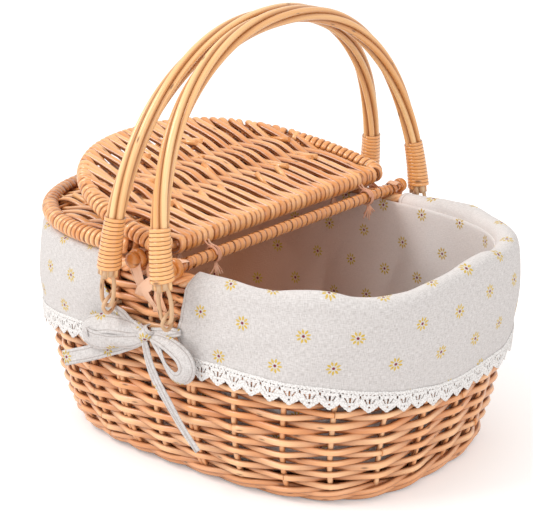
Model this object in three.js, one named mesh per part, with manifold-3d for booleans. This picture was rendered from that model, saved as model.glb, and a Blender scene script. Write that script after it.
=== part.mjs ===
// Picnic basket: an oval willow bowl with a fold-over linen liner, two half lids
// hinged on two cross bars, and two swing handles of twisted rods.
// Millimetres, +Z up. X runs along the basket and Y across it. It stands on z = 0.
// The right lid lies folded back on the left one and both handles stand up.
import * as THREE from 'three';
import { mergeVertices } from 'three/addons/utils/BufferGeometryUtils.js';
import Module from 'manifold-3d';

const wasm = await Module();
wasm.setup();

// Gap kept between pieces that touch
const gap = 0.3;

// Bowl: its outer weave
const bowlHalfLength = 200;
const bowlHalfWidth = 153;
const endSlope = 27;
const sideSlope = 28;
const wallTop = 171.6;
const squareness = 3.05;
const endFlare = 1.64;
const sideFlare = 5;
const wallThickness = 9;
const wallSplit = 68;
const rowPitch = 5.75;
const weaveProud = 1.6;
const weaveRelief = 3.6;
const baseThickness = 9;
const upsettHeight = 15;
const upsettRound = 5;
const ringSteps = 56;

// Rolled border on the wall
const rimRadius = 6.5;
const rimSides = 8;

// Liner: bag inside, skirt folded over the rim, lace on its hem
const clothThickness = 1.6;
const clothEase = 0.8;
const bagFloorEase = 2.4;
const notchWidth = 72;
const skirtSteps = 44;
const sideHem = 118;
const endHemDrop = 22;
const foldDepth = 2.2;
const foldCount = 9;
const innerLegLength = 16;
const laceHeight = 18;
const laceThickness = 1.2;
const laceDip = 5;
const laceSteps = 44;

// Cross bars and their wraps
const barSpacing = 40;
const barRadius = 4.2;
const saddleDepth = 0.5;
const barOverhang = 10;
const knobRadius = 6.2;
const knobLength = 6.5;
const wrapTurns = 14;
const wrapWidth = 8;
const wrapThickness = 0.8;
const wrapClearance = 1;
const wrapSteps = 6;

// Lids
const lidEndOverhang = 11.5;
const lidSideOverhang = 3;
const lidSquareness = 2.3;
const lidCornerRadius = 12;
const lidBorderRadius = 8;
const lidEdge = 7.8;
const lidDrop = 1.2;
const lidRestGap = 1;
const lidPanelThickness = 8.7;
const lidRowPitch = 7.9;
const lidRelief = 3;
const lidPanelSag = 2.4;
const ribRadius = 1.6;
const ribCount = 3;

// Twine ties that hang the lids on the bars
const tieRadius = 0.9;
const tieInset = 50;

// Handles
const handlePivotX = 32;
const handlePivotZ = 158;
const handleOut = 24;
const handleRise = 210;
const handleSquareness = 2.2;
const handleFoot = 25;
const rodCount = 5;
const rodRadius = 2.45;
const rodRing = 4.6;
const rodTurns = 1;
const rodSteps = 26;
const rodSides = 5;
const whippingTurns = 12;
const whippingLength = 44;
const whippingWidth = 3;
const whippingThickness = 1.3;
const whippingFoot = 2;
const whippingSteps = 6;

// Link loops between the handles and the wall
const loopRadius = 2;
const eyeBore = 2.6;
const loopDrop = 9.3;
const eyeSteps = 5;

// Cane strap over the rim between the bars
const strapWidth = 20;
const strapThickness = 1.4;
const strapFoot = 150;

// Ribbon bows: the knot's drop below the wall loops, how far each ribbon loop, tail and
// band reaches from the middle, and how far it drops (a band rises)
const ribbonThickness = 4;
const ribbonWidth = 20;
const ribbonPinch = 12;
const bowDrop = 23.7;
const knotWidth = 13;
const knotHeight = 16;
const knotThickness = 9;
const loopWidth = 29;
const leftLoopReach = 88;
const leftLoopDrop = 7;
const rightLoopReach = 66;
const rightLoopDrop = 21;
const leftTailReach = 103;
const leftTailDrop = 41;
const rightTailReach = 42;
const rightTailDrop = 87;
const bandReach = 48;
const bandRise = 6;

const willow = new THREE.MeshStandardMaterial({ color: 0xd08a4c, roughness: 0.55, metalness: 0 });
const willowDark = new THREE.MeshStandardMaterial({ color: 0xb9743a, roughness: 0.5, metalness: 0 });
const willowLight = new THREE.MeshStandardMaterial({ color: 0xdda867, roughness: 0.5, metalness: 0 });
const cane = new THREE.MeshStandardMaterial({ color: 0xd9a25e, roughness: 0.4, metalness: 0 });
const twine = new THREE.MeshStandardMaterial({ color: 0xc58a5a, roughness: 0.9, metalness: 0 });
const linen = new THREE.MeshStandardMaterial({ color: 0xd6d2cf, roughness: 0.95, metalness: 0 });
const lace = new THREE.MeshStandardMaterial({ color: 0xf2f0ec, roughness: 0.95, metalness: 0 });

const basket = new THREE.Group();

function piece(name, geometry, material, parent = basket) {
  const mesh = new THREE.Mesh(geometry, material);
  mesh.name = name;
  parent.add(mesh);
  return mesh;
}

// Closed surface from points and triangles, turned so that its faces point out
function closedSurface(points, triangles) {
  let volume = 0;
  for (const [a, b, c] of triangles) {
    volume += points[a].dot(points[b].clone().cross(points[c]));
  }
  const index = triangles.flatMap(([a, b, c]) => (volume > 0 ? [a, b, c] : [a, c, b]));
  const geometry = new THREE.BufferGeometry();
  geometry.setAttribute('position', new THREE.Float32BufferAttribute(points.flatMap((p) => p.toArray()), 3));
  geometry.setIndex(index);
  geometry.computeVertexNormals();
  return geometry;
}

// Skin over closed rows of points: the rows join into a ring, or end in flat caps
function skin(rows, ring) {
  const across = rows[0].length;
  const points = rows.flat();
  const triangles = [];
  const last = ring ? rows.length : rows.length - 1;
  for (let i = 0; i < last; i += 1) {
    for (let j = 0; j < across; j += 1) {
      const a = i * across + j;
      const b = i * across + ((j + 1) % across);
      const c = ((i + 1) % rows.length) * across + ((j + 1) % across);
      const d = ((i + 1) % rows.length) * across + j;
      triangles.push([a, b, c], [a, c, d]);
    }
  }
  if (!ring) {
    const end = (rows.length - 1) * across;
    for (let j = 1; j < across - 1; j += 1) {
      triangles.push([0, j + 1, j], [end, end + j, end + j + 1]);
    }
  }
  return closedSurface(points, triangles);
}

// Solid between two sheets of points laid out alike
function sheetSolid(outer, inner) {
  const rows = outer.length;
  const across = outer[0].length;
  const points = [...outer.flat(), ...inner.flat()];
  const back = rows * across;
  const triangles = [];
  const quad = (a, b, c, d) => triangles.push([a, b, c], [a, c, d]);
  for (let i = 0; i < rows - 1; i += 1) {
    for (let j = 0; j < across - 1; j += 1) {
      const a = i * across + j;
      quad(a, a + 1, a + across + 1, a + across);
      quad(back + a, back + a + across, back + a + across + 1, back + a + 1);
    }
  }
  for (let j = 0; j < across - 1; j += 1) {
    const end = (rows - 1) * across + j;
    quad(j, back + j, back + j + 1, j + 1);
    quad(end, end + 1, back + end + 1, back + end);
  }
  for (let i = 0; i < rows - 1; i += 1) {
    const a = i * across;
    const b = a + across - 1;
    quad(a, a + across, back + a + across, back + a);
    quad(b, back + b, back + b + across, b + across);
  }
  return closedSurface(points, triangles);
}

function polygon(radius, sides, turn = 0) {
  return Array.from({ length: sides }, (_, k) => {
    const angle = turn + (2 * Math.PI * k) / sides;
    return [radius * Math.cos(angle), radius * Math.sin(angle)];
  });
}

// Sweep of a section along points of a flat path with the given plane normal
function flatSweep(path, normal, section, ring) {
  const count = path.length;
  const rows = path.map((point, i) => {
    const before = ring ? path[(i - 1 + count) % count] : path[Math.max(i - 1, 0)];
    const after = ring ? path[(i + 1) % count] : path[Math.min(i + 1, count - 1)];
    const along = after.clone().sub(before).normalize();
    const side = normal.clone().cross(along);
    return section.map(([u, v]) => point.clone().addScaledVector(side, u).addScaledVector(normal, v));
  });
  return skin(rows, ring);
}

function toManifold(geometry) {
  const plain = geometry.clone();
  plain.deleteAttribute('normal');
  plain.deleteAttribute('uv');
  const merged = mergeVertices(plain, 1e-4);
  const vertProperties = new Float32Array(merged.attributes.position.array);
  const triVerts = new Uint32Array(merged.index.array);
  return new wasm.Manifold(new wasm.Mesh({ numProp: 3, vertProperties, triVerts }));
}

function fromManifold(solid) {
  const mesh = solid.getMesh();
  const geometry = new THREE.BufferGeometry();
  geometry.setAttribute('position', new THREE.Float32BufferAttribute(mesh.vertProperties, 3));
  geometry.setIndex(new THREE.Uint32BufferAttribute(mesh.triVerts, 1));
  geometry.computeVertexNormals();
  return geometry;
}

function subtract(geometry, cutters) {
  const whole = toManifold(geometry);
  return fromManifold(cutters.map(toManifold).reduce((solid, cutter) => solid.subtract(cutter), whole));
}

function unite(geometries) {
  return fromManifold(geometries.map(toManifold).reduce((a, b) => a.add(b)));
}

function cylinderAlongY(radius, length, sides, x, z) {
  const geometry = new THREE.CylinderGeometry(radius, radius, length, sides);
  geometry.rotateY(Math.PI / sides);
  geometry.translate(x, 0, z);
  return geometry;
}

// Bowl outline: half axes at a height, and evenly spaced places round the rim
function halfAxes(z, offset) {
  const left = 1 - Math.min(Math.max(z / wallTop, 0), 1);
  const length = bowlHalfLength - endSlope * left ** endFlare;
  const width = bowlHalfWidth - sideSlope * left ** sideFlare;
  return [length + offset, width + offset];
}

function outlinePoint(angle, halfLength, halfWidth, power) {
  const c = Math.cos(angle);
  const s = Math.sin(angle);
  const x = halfLength * Math.sign(c) * Math.abs(c) ** (2 / power);
  const y = halfWidth * Math.sign(s) * Math.abs(s) ** (2 / power);
  return new THREE.Vector2(x, y);
}

function evenAngles(count) {
  const fine = 4000;
  const lengths = [0];
  let before = outlinePoint(0, bowlHalfLength, bowlHalfWidth, squareness);
  for (let i = 1; i <= fine; i += 1) {
    const point = outlinePoint((2 * Math.PI * i) / fine, bowlHalfLength, bowlHalfWidth, squareness);
    lengths.push(lengths[i - 1] + point.distanceTo(before));
    before = point;
  }
  return Array.from({ length: count }, (_, k) => {
    const goal = (lengths[fine] * k) / count;
    const i = lengths.findIndex((value) => value >= goal - 1e-6);
    return (2 * Math.PI * i) / fine;
  });
}

const ringAngles = evenAngles(ringSteps);
const ringCorners = ringAngles.map((angle) => outlinePoint(angle, bowlHalfLength, bowlHalfWidth, squareness));
const ringStep = ringCorners.reduce((sum, p, k) => (
  sum + p.distanceTo(ringCorners[(k + 1) % ringSteps])), 0) / ringSteps;

// Point on the bowl at a place counted in ring steps, which may be a fraction
function bowlPoint(place, z, offset) {
  const low = Math.floor(place);
  const share = place - low;
  const [halfLength, halfWidth] = halfAxes(z, offset);
  const at = (k) => {
    const angle = ringAngles[((k % ringSteps) + ringSteps) % ringSteps];
    return outlinePoint(angle, halfLength, halfWidth, squareness);
  };
  const p = at(low).lerp(at(low + 1), share);
  return new THREE.Vector3(p.x, p.y, z);
}

function bowlRow(z, offset) {
  return ringAngles.map((_, k) => bowlPoint(k, z, offset));
}

function bowlRing(section) {
  return skin(section.map(([z, offset]) => bowlRow(z, offset)), true);
}

// Base: the woven floor inside the first rounds of the wall
piece(
  'base_weave',
  skin([bowlRow(0, 0), bowlRow(baseThickness, 0)].map((row) => row.map((p) => {
    const [halfLength, halfWidth] = halfAxes(p.z, 0);
    const [fitLength, fitWidth] = halfAxes(0, -wallThickness - gap);
    return new THREE.Vector3((p.x * fitLength) / halfLength, (p.y * fitWidth) / halfWidth, p.z);
  })), false),
  willow,
);

// Upsett: the heavier first rounds that turn the stakes up
piece('upsett_wale', bowlRing([
  [0, -upsettRound],
  [upsettRound, 0],
  [upsettHeight, 0],
  [upsettHeight, -wallThickness],
  [0, -wallThickness],
]), willowDark);

// Row of the wall's weave: a rod in front of one stake and behind the next. The stakes
// stand at every second step of the ring.
function wovenRow(z, number) {
  return ringAngles.map((_, k) => {
    const behind = k % 2 === 1 ? 0.5 : (k / 2 + number) % 2;
    return bowlPoint(k, z, weaveProud - weaveRelief * behind);
  });
}

// Wall: randed rods on upright stakes. The lower band shows its rows, and the upper one,
// which the skirts cover, is plain.
const wallFoot = upsettHeight + gap;
const lowerRows = Math.round((wallSplit - wallFoot) / rowPitch);
const wallInside = (foot, top, shares) => shares.map((share) => (
  bowlRow(foot + (top - foot) * share, -wallThickness)));
piece('wall_weave_lower', skin([
  bowlRow(wallFoot, 0),
  ...Array.from({ length: lowerRows }, (_, k) => (
    wovenRow(wallFoot + ((wallSplit - wallFoot) * (k + 0.5)) / lowerRows, k))),
  bowlRow(wallSplit, 0),
  ...wallInside(wallFoot, wallSplit, [1, 0.6, 0.25, 0]),
], true), willow);
const upperFoot = wallSplit + gap;
piece('wall_weave_upper', skin([
  ...[upperFoot, (upperFoot + wallTop) / 2, wallTop].map((z) => bowlRow(z, 0)),
  ...wallInside(upperFoot, wallTop, [1, 0.5, 0]),
], true), willow);

// Rim: a rolled border, notched where the cross bars pass over it
const rimHeight = wallTop + gap + rimRadius;
const rimTop = rimHeight + rimRadius;
const rimTurn = Math.PI / rimSides;
const barHeight = rimTop - saddleDepth + barRadius;
const barEnd = bowlHalfWidth + barOverhang;
const barPlaces = { left: -barSpacing / 2, right: barSpacing / 2 };
const rimSection = polygon(rimRadius, rimSides, rimTurn);
const rimRing = bowlRing(rimSection.map(([u, v]) => [rimHeight + v, u - rimRadius]));
const saddles = Object.values(barPlaces)
  .map((x) => cylinderAlongY(barRadius + gap, 2 * barEnd, 12, x, barHeight));
piece('rim_border', subtract(rimRing, saddles), willowDark);

// Cross bars with a knob at each end
for (const [side, x] of Object.entries(barPlaces)) {
  const neck = barEnd - knobLength;
  const profile = [
    [0, -barEnd],
    [knobRadius, -barEnd],
    [knobRadius, -neck],
    [barRadius, -neck],
    [barRadius, neck],
    [knobRadius, neck],
    [knobRadius, barEnd],
    [0, barEnd],
  ];
  const bar = new THREE.LatheGeometry(profile.map(([r, y]) => new THREE.Vector2(r, y)), 12);
  bar.translate(x, 0, barHeight);
  piece(`hinge_bar_${side}`, bar, willowDark);
}

// Winding of flat cane round a core: one unbroken strip
function winding({ place, length, turns, steps, bore, width, thickness }) {
  const count = turns * steps;
  const radius = bore / Math.cos(Math.PI / steps);
  const rows = Array.from({ length: count + 1 }, (_, k) => {
    const { centre, along, across, side } = place((length * k) / count);
    const angle = (2 * Math.PI * k) / steps;
    const out = across.clone().multiplyScalar(Math.cos(angle)).addScaledVector(side, Math.sin(angle));
    return [[0, -1], [0, 1], [1, 1], [1, -1]].map(([u, v]) => centre.clone()
      .addScaledVector(out, radius + u * thickness)
      .addScaledVector(along, (v * width) / 2));
  });
  return { geometry: skin(rows, false), rows };
}

// Least distance between a winding's strip and its next turn, measured on its edges
function leastSelfGap(rows, steps) {
  let least = Infinity;
  for (let i = 0; i + steps < rows.length; i += 1) {
    for (const p of rows[i]) {
      for (let j = i + steps - 1; j <= Math.min(i + steps + 1, rows.length - 1); j += 1) {
        for (const q of rows[j]) least = Math.min(least, p.distanceTo(q));
      }
    }
  }
  return least;
}

const rimInnerWidth = bowlHalfWidth - 2 * rimRadius;
const wrapHalfLength = rimInnerWidth - clothEase - clothThickness - wrapWidth / 2 - wrapClearance;
for (const [side, x] of Object.entries(barPlaces)) {
  const wrap = winding({
    place: (s) => ({
      centre: new THREE.Vector3(x, s - wrapHalfLength, barHeight),
      along: new THREE.Vector3(0, 1, 0),
      across: new THREE.Vector3(1, 0, 0),
      side: new THREE.Vector3(0, 0, 1),
    }),
    length: 2 * wrapHalfLength,
    turns: wrapTurns,
    steps: wrapSteps,
    bore: barRadius + gap,
    width: wrapWidth,
    thickness: wrapThickness,
  });
  console.log(`bar_wrap_${side} least self gap ${leastSelfGap(wrap.rows, wrapSteps).toFixed(2)} mm`);
  piece(`bar_wrap_${side}`, wrap.geometry, cane);
}

// Points over the rim's flats at a distance from them, from its outer side to its inner
function overRim(distance) {
  const radius = rimRadius + distance / Math.cos(rimTurn);
  return polygon(radius, rimSides, rimTurn)
    .slice(0, rimSides / 2)
    .map(([u, v]) => [rimHeight + v, u - rimRadius]);
}

// Liner skirt: cloth over the rim, its folds deeper towards the hem
const clothTop = overRim(clothEase + clothThickness)[1][0];
const innerCloth = -2 * rimRadius - clothEase;
const innerLegFoot = rimTop - innerLegLength;
const quarter = ringSteps / 4;
const skirtReach = quarter - notchWidth / 2 / ringStep;

function hemHeight(place) {
  const across = Math.cos((Math.PI * place) / (2 * quarter)) ** 2;
  return sideHem - endHemDrop * across ** 2;
}

function foldOut(place, depth) {
  const wave = 0.5 + 0.5 * Math.cos((2 * Math.PI * foldCount * (place + skirtReach)) / (2 * skirtReach));
  return foldDepth * wave * depth;
}

function skirtRow(place, turn, out) {
  const outerLeg = [1, 0.5, 0].map((down) => {
    const z = wallTop - (wallTop - hemHeight(place)) * down;
    return [z, clothEase + out + foldOut(place, down)];
  });
  const section = [...outerLeg, ...overRim(clothEase + out), [innerLegFoot, innerCloth - out]];
  return section.map(([z, offset]) => bowlPoint(place + turn, z, offset));
}

const halfTurns = { right: 0, left: ringSteps / 2 };
for (const [side, turn] of Object.entries(halfTurns)) {
  const places = Array.from({ length: skirtSteps + 1 }, (_, i) => skirtReach * ((2 * i) / skirtSteps - 1));
  const [outer, inner] = [clothThickness, 0].map((out) => places.map((place) => skirtRow(place, turn, out)));
  piece(`liner_skirt_${side}`, sheetSolid(outer, inner), linen);
}

// Lace: a strip under the hem with pointed scallops
for (const [side, turn] of Object.entries(halfTurns)) {
  const inner = [];
  const outer = [];
  for (let i = 0; i <= laceSteps; i += 1) {
    const place = skirtReach * ((2 * i) / laceSteps - 1);
    const top = hemHeight(place) - gap;
    const foot = top - laceHeight + (i % 2 === 0 ? laceDip : 0);
    const offset = clothEase + foldOut(place, 1);
    inner.push([bowlPoint(place + turn, foot, offset), bowlPoint(place + turn, top, offset)]);
    outer.push([foot, top].map((z) => bowlPoint(place + turn, z, offset + laceThickness)));
  }
  piece(`lace_${side}`, sheetSolid(outer, inner), lace);
}

// Liner bag: the cloth inside the bowl, sewn to the skirts' inner edge
const bagFloor = baseThickness + gap;
const bagTop = innerLegFoot - gap;
const bagLow = -wallThickness - clothEase;
const bagSide = [
  [bagFloor, bagLow - bagFloorEase],
  [bagFloor + upsettHeight, bagLow],
  [wallSplit, bagLow],
  [bagTop, innerCloth],
];
piece('liner_bag', skin([
  ...bagSide.map(([z, offset]) => bowlRow(z, offset)),
  ...bagSide.toReversed().map(([z, offset]) => {
    const height = z === bagFloor ? bagFloor + clothThickness : z;
    return bowlRow(height, offset - clothThickness);
  }),
], false), linen);

// Cane straps that bind the rim between the bars
function strapSection(out) {
  return [
    [strapFoot, gap + out],
    [wallTop, gap + out],
    ...overRim(gap + out),
    [bagTop + gap, -2 * rimRadius - gap - out],
  ];
}
for (const [side, sign] of [['near', -1], ['far', 1]]) {
  const [outer, inner] = [strapThickness, 0].map((out) => [-strapWidth / 2, strapWidth / 2].map((x) => (
    strapSection(out).map(([z, offset]) => new THREE.Vector3(x, sign * halfAxes(z, offset)[1], z)))));
  piece(`rim_lashing_${side}`, sheetSolid(outer, inner), cane);
}

// Lids: a hoop that bends round its corners to a hinge stick, and ribs in a woven panel.
// The folded lid's hoop rests on the left lid's where both leave their corners.
const lidReach = bowlHalfLength - barSpacing / 2 + lidEndOverhang;
const lidHalfWidth = bowlHalfWidth + lidSideOverhang;
const lidBorderSides = 8;
const lidBorderTurn = Math.PI / lidBorderSides;
const lidBorderFlat = lidBorderRadius * Math.cos(lidBorderTurn);
const lidBorderHalfFlat = lidBorderRadius * Math.sin(lidBorderTurn);
const lidAxisHeight = clothTop + gap + lidBorderFlat + lidDrop;
const lidFaceHeight = lidBorderFlat - lidDrop;
const stickX = lidEdge + lidBorderRadius;
const cornerX = stickX + lidCornerRadius;
const cornerY = lidHalfWidth - lidBorderRadius - lidCornerRadius;
const cornerTurn = Math.acos(1 - lidBorderHalfFlat / lidCornerRadius);
const lidRun = barSpacing + cornerX - (lidCornerRadius + lidBorderHalfFlat) * Math.sin(cornerTurn);
const lidTilt = Math.asin((lidFaceHeight + lidRestGap) / Math.hypot(lidRun, lidFaceHeight))
  + Math.atan2(lidFaceHeight, lidRun);
const hoopSteps = 18;
const cornerSteps = 3;
const hoopEnd = 2;

// A line along the hoop, moved in from its outer edge, and its bend at each corner
function hoopArc(inset, side) {
  const radius = lidCornerRadius + lidBorderRadius - inset;
  const bend = Array.from({ length: cornerSteps }, (_, k) => {
    const angle = (Math.PI / 2) * (k / cornerSteps);
    const y = side * (cornerY + radius * Math.sin(angle));
    return new THREE.Vector3(cornerX - radius * Math.cos(angle), y, -lidDrop);
  });
  return [new THREE.Vector3(cornerX - radius, side * (cornerY - hoopEnd), -lidDrop), ...bend];
}

function hoopBow(inset) {
  return Array.from({ length: hoopSteps + 1 }, (_, k) => {
    const angle = Math.PI * (k / hoopSteps - 0.5);
    const p = outlinePoint(angle, lidReach - cornerX - inset, lidHalfWidth - inset, lidSquareness);
    return new THREE.Vector3(cornerX + Math.max(p.x, 0), p.y, -lidDrop);
  });
}

function hoopInnerWidth(x) {
  const inset = 2 * lidBorderRadius + gap;
  const share = (x - cornerX) / (lidReach - cornerX - inset);
  return (lidHalfWidth - inset) * (1 - share ** lidSquareness) ** (1 / lidSquareness);
}

// Woven panel of a lid: rods that run from the hinge stick to the hoop, over one rib and
// under the next, side by side across the lid
function lidPanel(start, ribPlaces) {
  const edge = hoopBow(2 * lidBorderRadius + gap);
  const endAt = (y) => {
    const k = edge.findIndex((p) => p.y >= y);
    return THREE.MathUtils.mapLinear(y, edge[k - 1].y, edge[k].y, edge[k - 1].x, edge[k].x);
  };
  const startAt = (y) => {
    const past = Math.max(Math.abs(y) - cornerY, 0);
    return cornerX - Math.sqrt(Math.max((cornerX - start) ** 2 - past ** 2, 0));
  };
  const last = hoopInnerWidth(cornerX + 2 * ribRadius * (ribCount + 1));
  const rowsEachSide = Math.floor((last - lidRowPitch / 3) / lidRowPitch);
  const inner = Array.from({ length: 2 * rowsEachSide + 1 }, (_, k) => (k - rowsEachSide) * lidRowPitch);
  const sheets = [1, -1].map((face) => [-last, ...inner, last].map((y, row) => {
    const end = endAt(y);
    const point = (x, lift) => new THREE.Vector3(x, y, lift - lidDrop + (face * lidPanelThickness) / 2);
    return [
      point(startAt(y), -lidPanelSag),
      ...ribPlaces.map((x, k) => point(
        Math.min(x, end - ribRadius * (ribCount - k)),
        x < end - ribRadius ? (lidRelief / 2) * ((k + row) % 2 === 0 ? 1 : -1) : -lidPanelSag,
      )),
      point(end, -lidPanelSag),
    ];
  }));
  return sheetSolid(...sheets);
}

function makeLid(side, sign, turn) {
  const group = new THREE.Group();
  group.position.set(sign * barSpacing / 2, 0, lidAxisHeight);
  group.rotation.y = turn;
  basket.add(group);
  const place = (geometry) => (sign < 0 ? geometry.rotateZ(Math.PI) : geometry);
  const border = polygon(lidBorderRadius, lidBorderSides, lidBorderTurn);
  const up = new THREE.Vector3(0, 0, 1);
  const path = [
    ...hoopArc(lidBorderRadius, -1),
    ...hoopBow(lidBorderRadius),
    ...hoopArc(lidBorderRadius, 1).toReversed(),
  ];
  const hoop = flatSweep(path, up, border, false);
  piece(`lid_${side}_hoop`, place(hoop), willowDark, group);
  const stickHalf = cornerY - hoopEnd - gap;
  const stick = cylinderAlongY(lidBorderRadius, 2 * stickHalf, lidBorderSides, stickX, -lidDrop);
  piece(`lid_${side}_hinge_stick`, place(stick), willowDark, group);

  const panelStart = stickX + lidBorderRadius + gap;
  const hoopInner = lidReach - 2 * lidBorderRadius;
  const ribPlaces = Array.from({ length: ribCount }, (_, k) => (
    panelStart + ((hoopInner - panelStart) * (k + 1)) / (ribCount + 1)));
  const bores = ribPlaces.map((x) => cylinderAlongY(ribRadius + gap, 2 * lidHalfWidth, 8, x, -lidDrop));
  piece(`lid_${side}_weave`, place(subtract(lidPanel(panelStart, ribPlaces), bores)), willow, group);
  ribPlaces.forEach((x, k) => {
    const half = hoopInnerWidth(x + ribRadius) - gap;
    const rib = cylinderAlongY(ribRadius, 2 * half, 8, x, -lidDrop);
    piece(`lid_${side}_rib_${k + 1}`, place(rib), willowLight, group);
  });
}

makeLid('left', -1, 0);
makeLid('right', 1, lidTilt - Math.PI);

// Twine ties: a loop round each bar, up to the hinge line
const wrapOuter = (barRadius + gap) / Math.cos(Math.PI / wrapSteps) + wrapThickness;
const tieOffset = lidHalfWidth - tieInset;
const tieSteps = 14;
for (const [side, x] of Object.entries(barPlaces)) {
  for (const [end, y] of [['near', -tieOffset], ['far', tieOffset]]) {
    const radius = (wrapOuter + gap + tieRadius) / Math.cos(Math.PI / tieSteps);
    const path = polygon(radius, tieSteps).map(([u, v]) => new THREE.Vector3(x + u, y, barHeight + v));
    const section = polygon(tieRadius, 4);
    piece(`hinge_tie_${side}_${end}`, flatSweep(path, new THREE.Vector3(0, 1, 0), section, true), twine);
  }
}

// Handles: an arch of twisted rods on two whipped feet, each with an eye
const handleHalfSpan = bowlHalfWidth + handleOut;

class Arch extends THREE.Curve {
  getPoint(t, target = new THREE.Vector3()) {
    const p = outlinePoint(Math.PI * t, handleHalfSpan, handleRise - handleFoot, handleSquareness);
    return target.set(0, -p.x, handleFoot + Math.max(p.y, 0));
  }
}

const arch = new Arch();
arch.arcLengthDivisions = 800;
const archLength = arch.getLength();

function archPlace(s) {
  const u = Math.min(Math.max(s / archLength, 0), 1);
  const along = arch.getTangentAt(u);
  const side = new THREE.Vector3(1, 0, 0);
  return { centre: arch.getPointAt(u), along, across: along.clone().cross(side), side };
}

class TwistedRod extends THREE.Curve {
  constructor(start) {
    super();
    this.start = start;
  }

  getPoint(t, target = new THREE.Vector3()) {
    const { centre, across, side } = archPlace(t * archLength);
    const angle = this.start + 2 * Math.PI * rodTurns * t;
    return target.copy(centre)
      .addScaledVector(across, rodRing * Math.cos(angle))
      .addScaledVector(side, rodRing * Math.sin(angle));
  }
}

const bundleRadius = rodRing + rodRadius;
const handleLean = Math.asin((handlePivotX - bundleRadius - gap / 2) / handleRise);

function makeHandle(name, sign) {
  const group = new THREE.Group();
  group.position.set(sign * handlePivotX, 0, handlePivotZ);
  group.rotation.y = -sign * handleLean;
  basket.add(group);
  const rodSection = new THREE.Shape(polygon(rodRadius, rodSides).map(([u, v]) => new THREE.Vector2(u, v)));
  for (let k = 0; k < rodCount; k += 1) {
    const extrudePath = new TwistedRod((2 * Math.PI * k) / rodCount);
    const rodForm = { steps: rodSteps, extrudePath, bevelEnabled: false };
    const rod = new THREE.ExtrudeGeometry(rodSection, rodForm);
    piece(`handle_${name}_rod_${k + 1}`, rod, willowLight, group);
  }
  for (const [end, ySign, start] of [
    ['near', -1, whippingFoot],
    ['far', 1, archLength - whippingFoot - whippingLength],
  ]) {
    const whipping = winding({
      place: (s) => archPlace(start + s),
      length: whippingLength,
      turns: whippingTurns,
      steps: whippingSteps,
      bore: bundleRadius + gap,
      width: whippingWidth,
      thickness: whippingThickness,
    });
    const least = leastSelfGap(whipping.rows, whippingSteps);
    console.log(`handle_${name}_whipping_${end} least self gap ${least.toFixed(2)} mm`);
    piece(`handle_${name}_whipping_${end}`, whipping.geometry, cane, group);

    const bend = eyeBore + loopRadius;
    const eyeTop = handleFoot - gap - bend - loopRadius;
    const arc = (z, from) => Array.from({ length: eyeSteps + 1 }, (_, j) => {
      const angle = from + (Math.PI * j) / eyeSteps;
      return new THREE.Vector3(bend * Math.cos(angle), ySign * handleHalfSpan, z + bend * Math.sin(angle));
    });
    const eyePath = [...arc(eyeTop, 0), ...arc(0, Math.PI)];
    const eye = flatSweep(eyePath, new THREE.Vector3(0, 1, 0), polygon(loopRadius, 5), true);
    piece(`handle_${name}_eye_${end}`, eye, willowLight, group);
  }
}

makeHandle('front', 1);
makeHandle('back', -1);

// Wall loops: staples from the wall that the handle eyes hang on
const loopTurn = loopDrop / 2;
const loopReach = handleHalfSpan + loopRadius + gap;
for (const [name, xSign] of [['front', 1], ['back', -1]]) {
  for (const [end, ySign] of [['near', -1], ['far', 1]]) {
    const x = xSign * handlePivotX;
    const [, wallAtPivot] = halfAxes(handlePivotZ, gap);
    const at = (y, z) => new THREE.Vector3(x, ySign * y, z);
    const bend = Array.from({ length: 7 }, (_, k) => {
      const angle = Math.PI / 2 - (Math.PI * k) / 6;
      const z = handlePivotZ - loopTurn + loopTurn * Math.sin(angle);
      return at(loopReach + loopTurn * Math.cos(angle), z);
    });
    const path = [at(wallAtPivot, handlePivotZ), ...bend, at(wallAtPivot, handlePivotZ - loopDrop)];
    const loop = flatSweep(path, new THREE.Vector3(1, 0, 0), polygon(loopRadius, 6), false);
    piece(`wall_loop_${name}_${end}`, loop, willowDark);
  }
}

// Bows: two ribbons from the skirts' ends, tied below each notch
function ribbon(points) {
  const shape = new THREE.Shape(points.map(([x, z]) => new THREE.Vector2(x, z)));
  const geometry = new THREE.ExtrudeGeometry(shape, { depth: ribbonThickness, bevelEnabled: false });
  geometry.rotateX(Math.PI / 2);
  return geometry;
}

function ribbonStrip(from, to, width, endWidth = width) {
  const along = new THREE.Vector2(to[0] - from[0], to[1] - from[1]).normalize();
  const side = new THREE.Vector2(-along.y, along.x);
  const corner = ([x, z], half) => [x + side.x * half, z + side.y * half];
  return ribbon([
    corner(from, -width / 2),
    corner(to, -endWidth / 2),
    corner(to, endWidth / 2),
    corner(from, width / 2),
  ]);
}

function ribbonLoop(from, to, width) {
  const along = new THREE.Vector2(to[0] - from[0], to[1] - from[1]);
  const side = new THREE.Vector2(-along.y, along.x).normalize();
  const outline = Array.from({ length: 14 }, (_, k) => {
    const angle = (2 * Math.PI * k) / 14;
    const run = 0.5 - 0.5 * Math.cos(angle);
    const half = (width / 2) * Math.sin(angle) * (0.55 + 0.45 * run);
    return [from[0] + along.x * run + side.x * half, from[1] + along.y * run + side.y * half];
  });
  return ribbon(outline);
}

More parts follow.
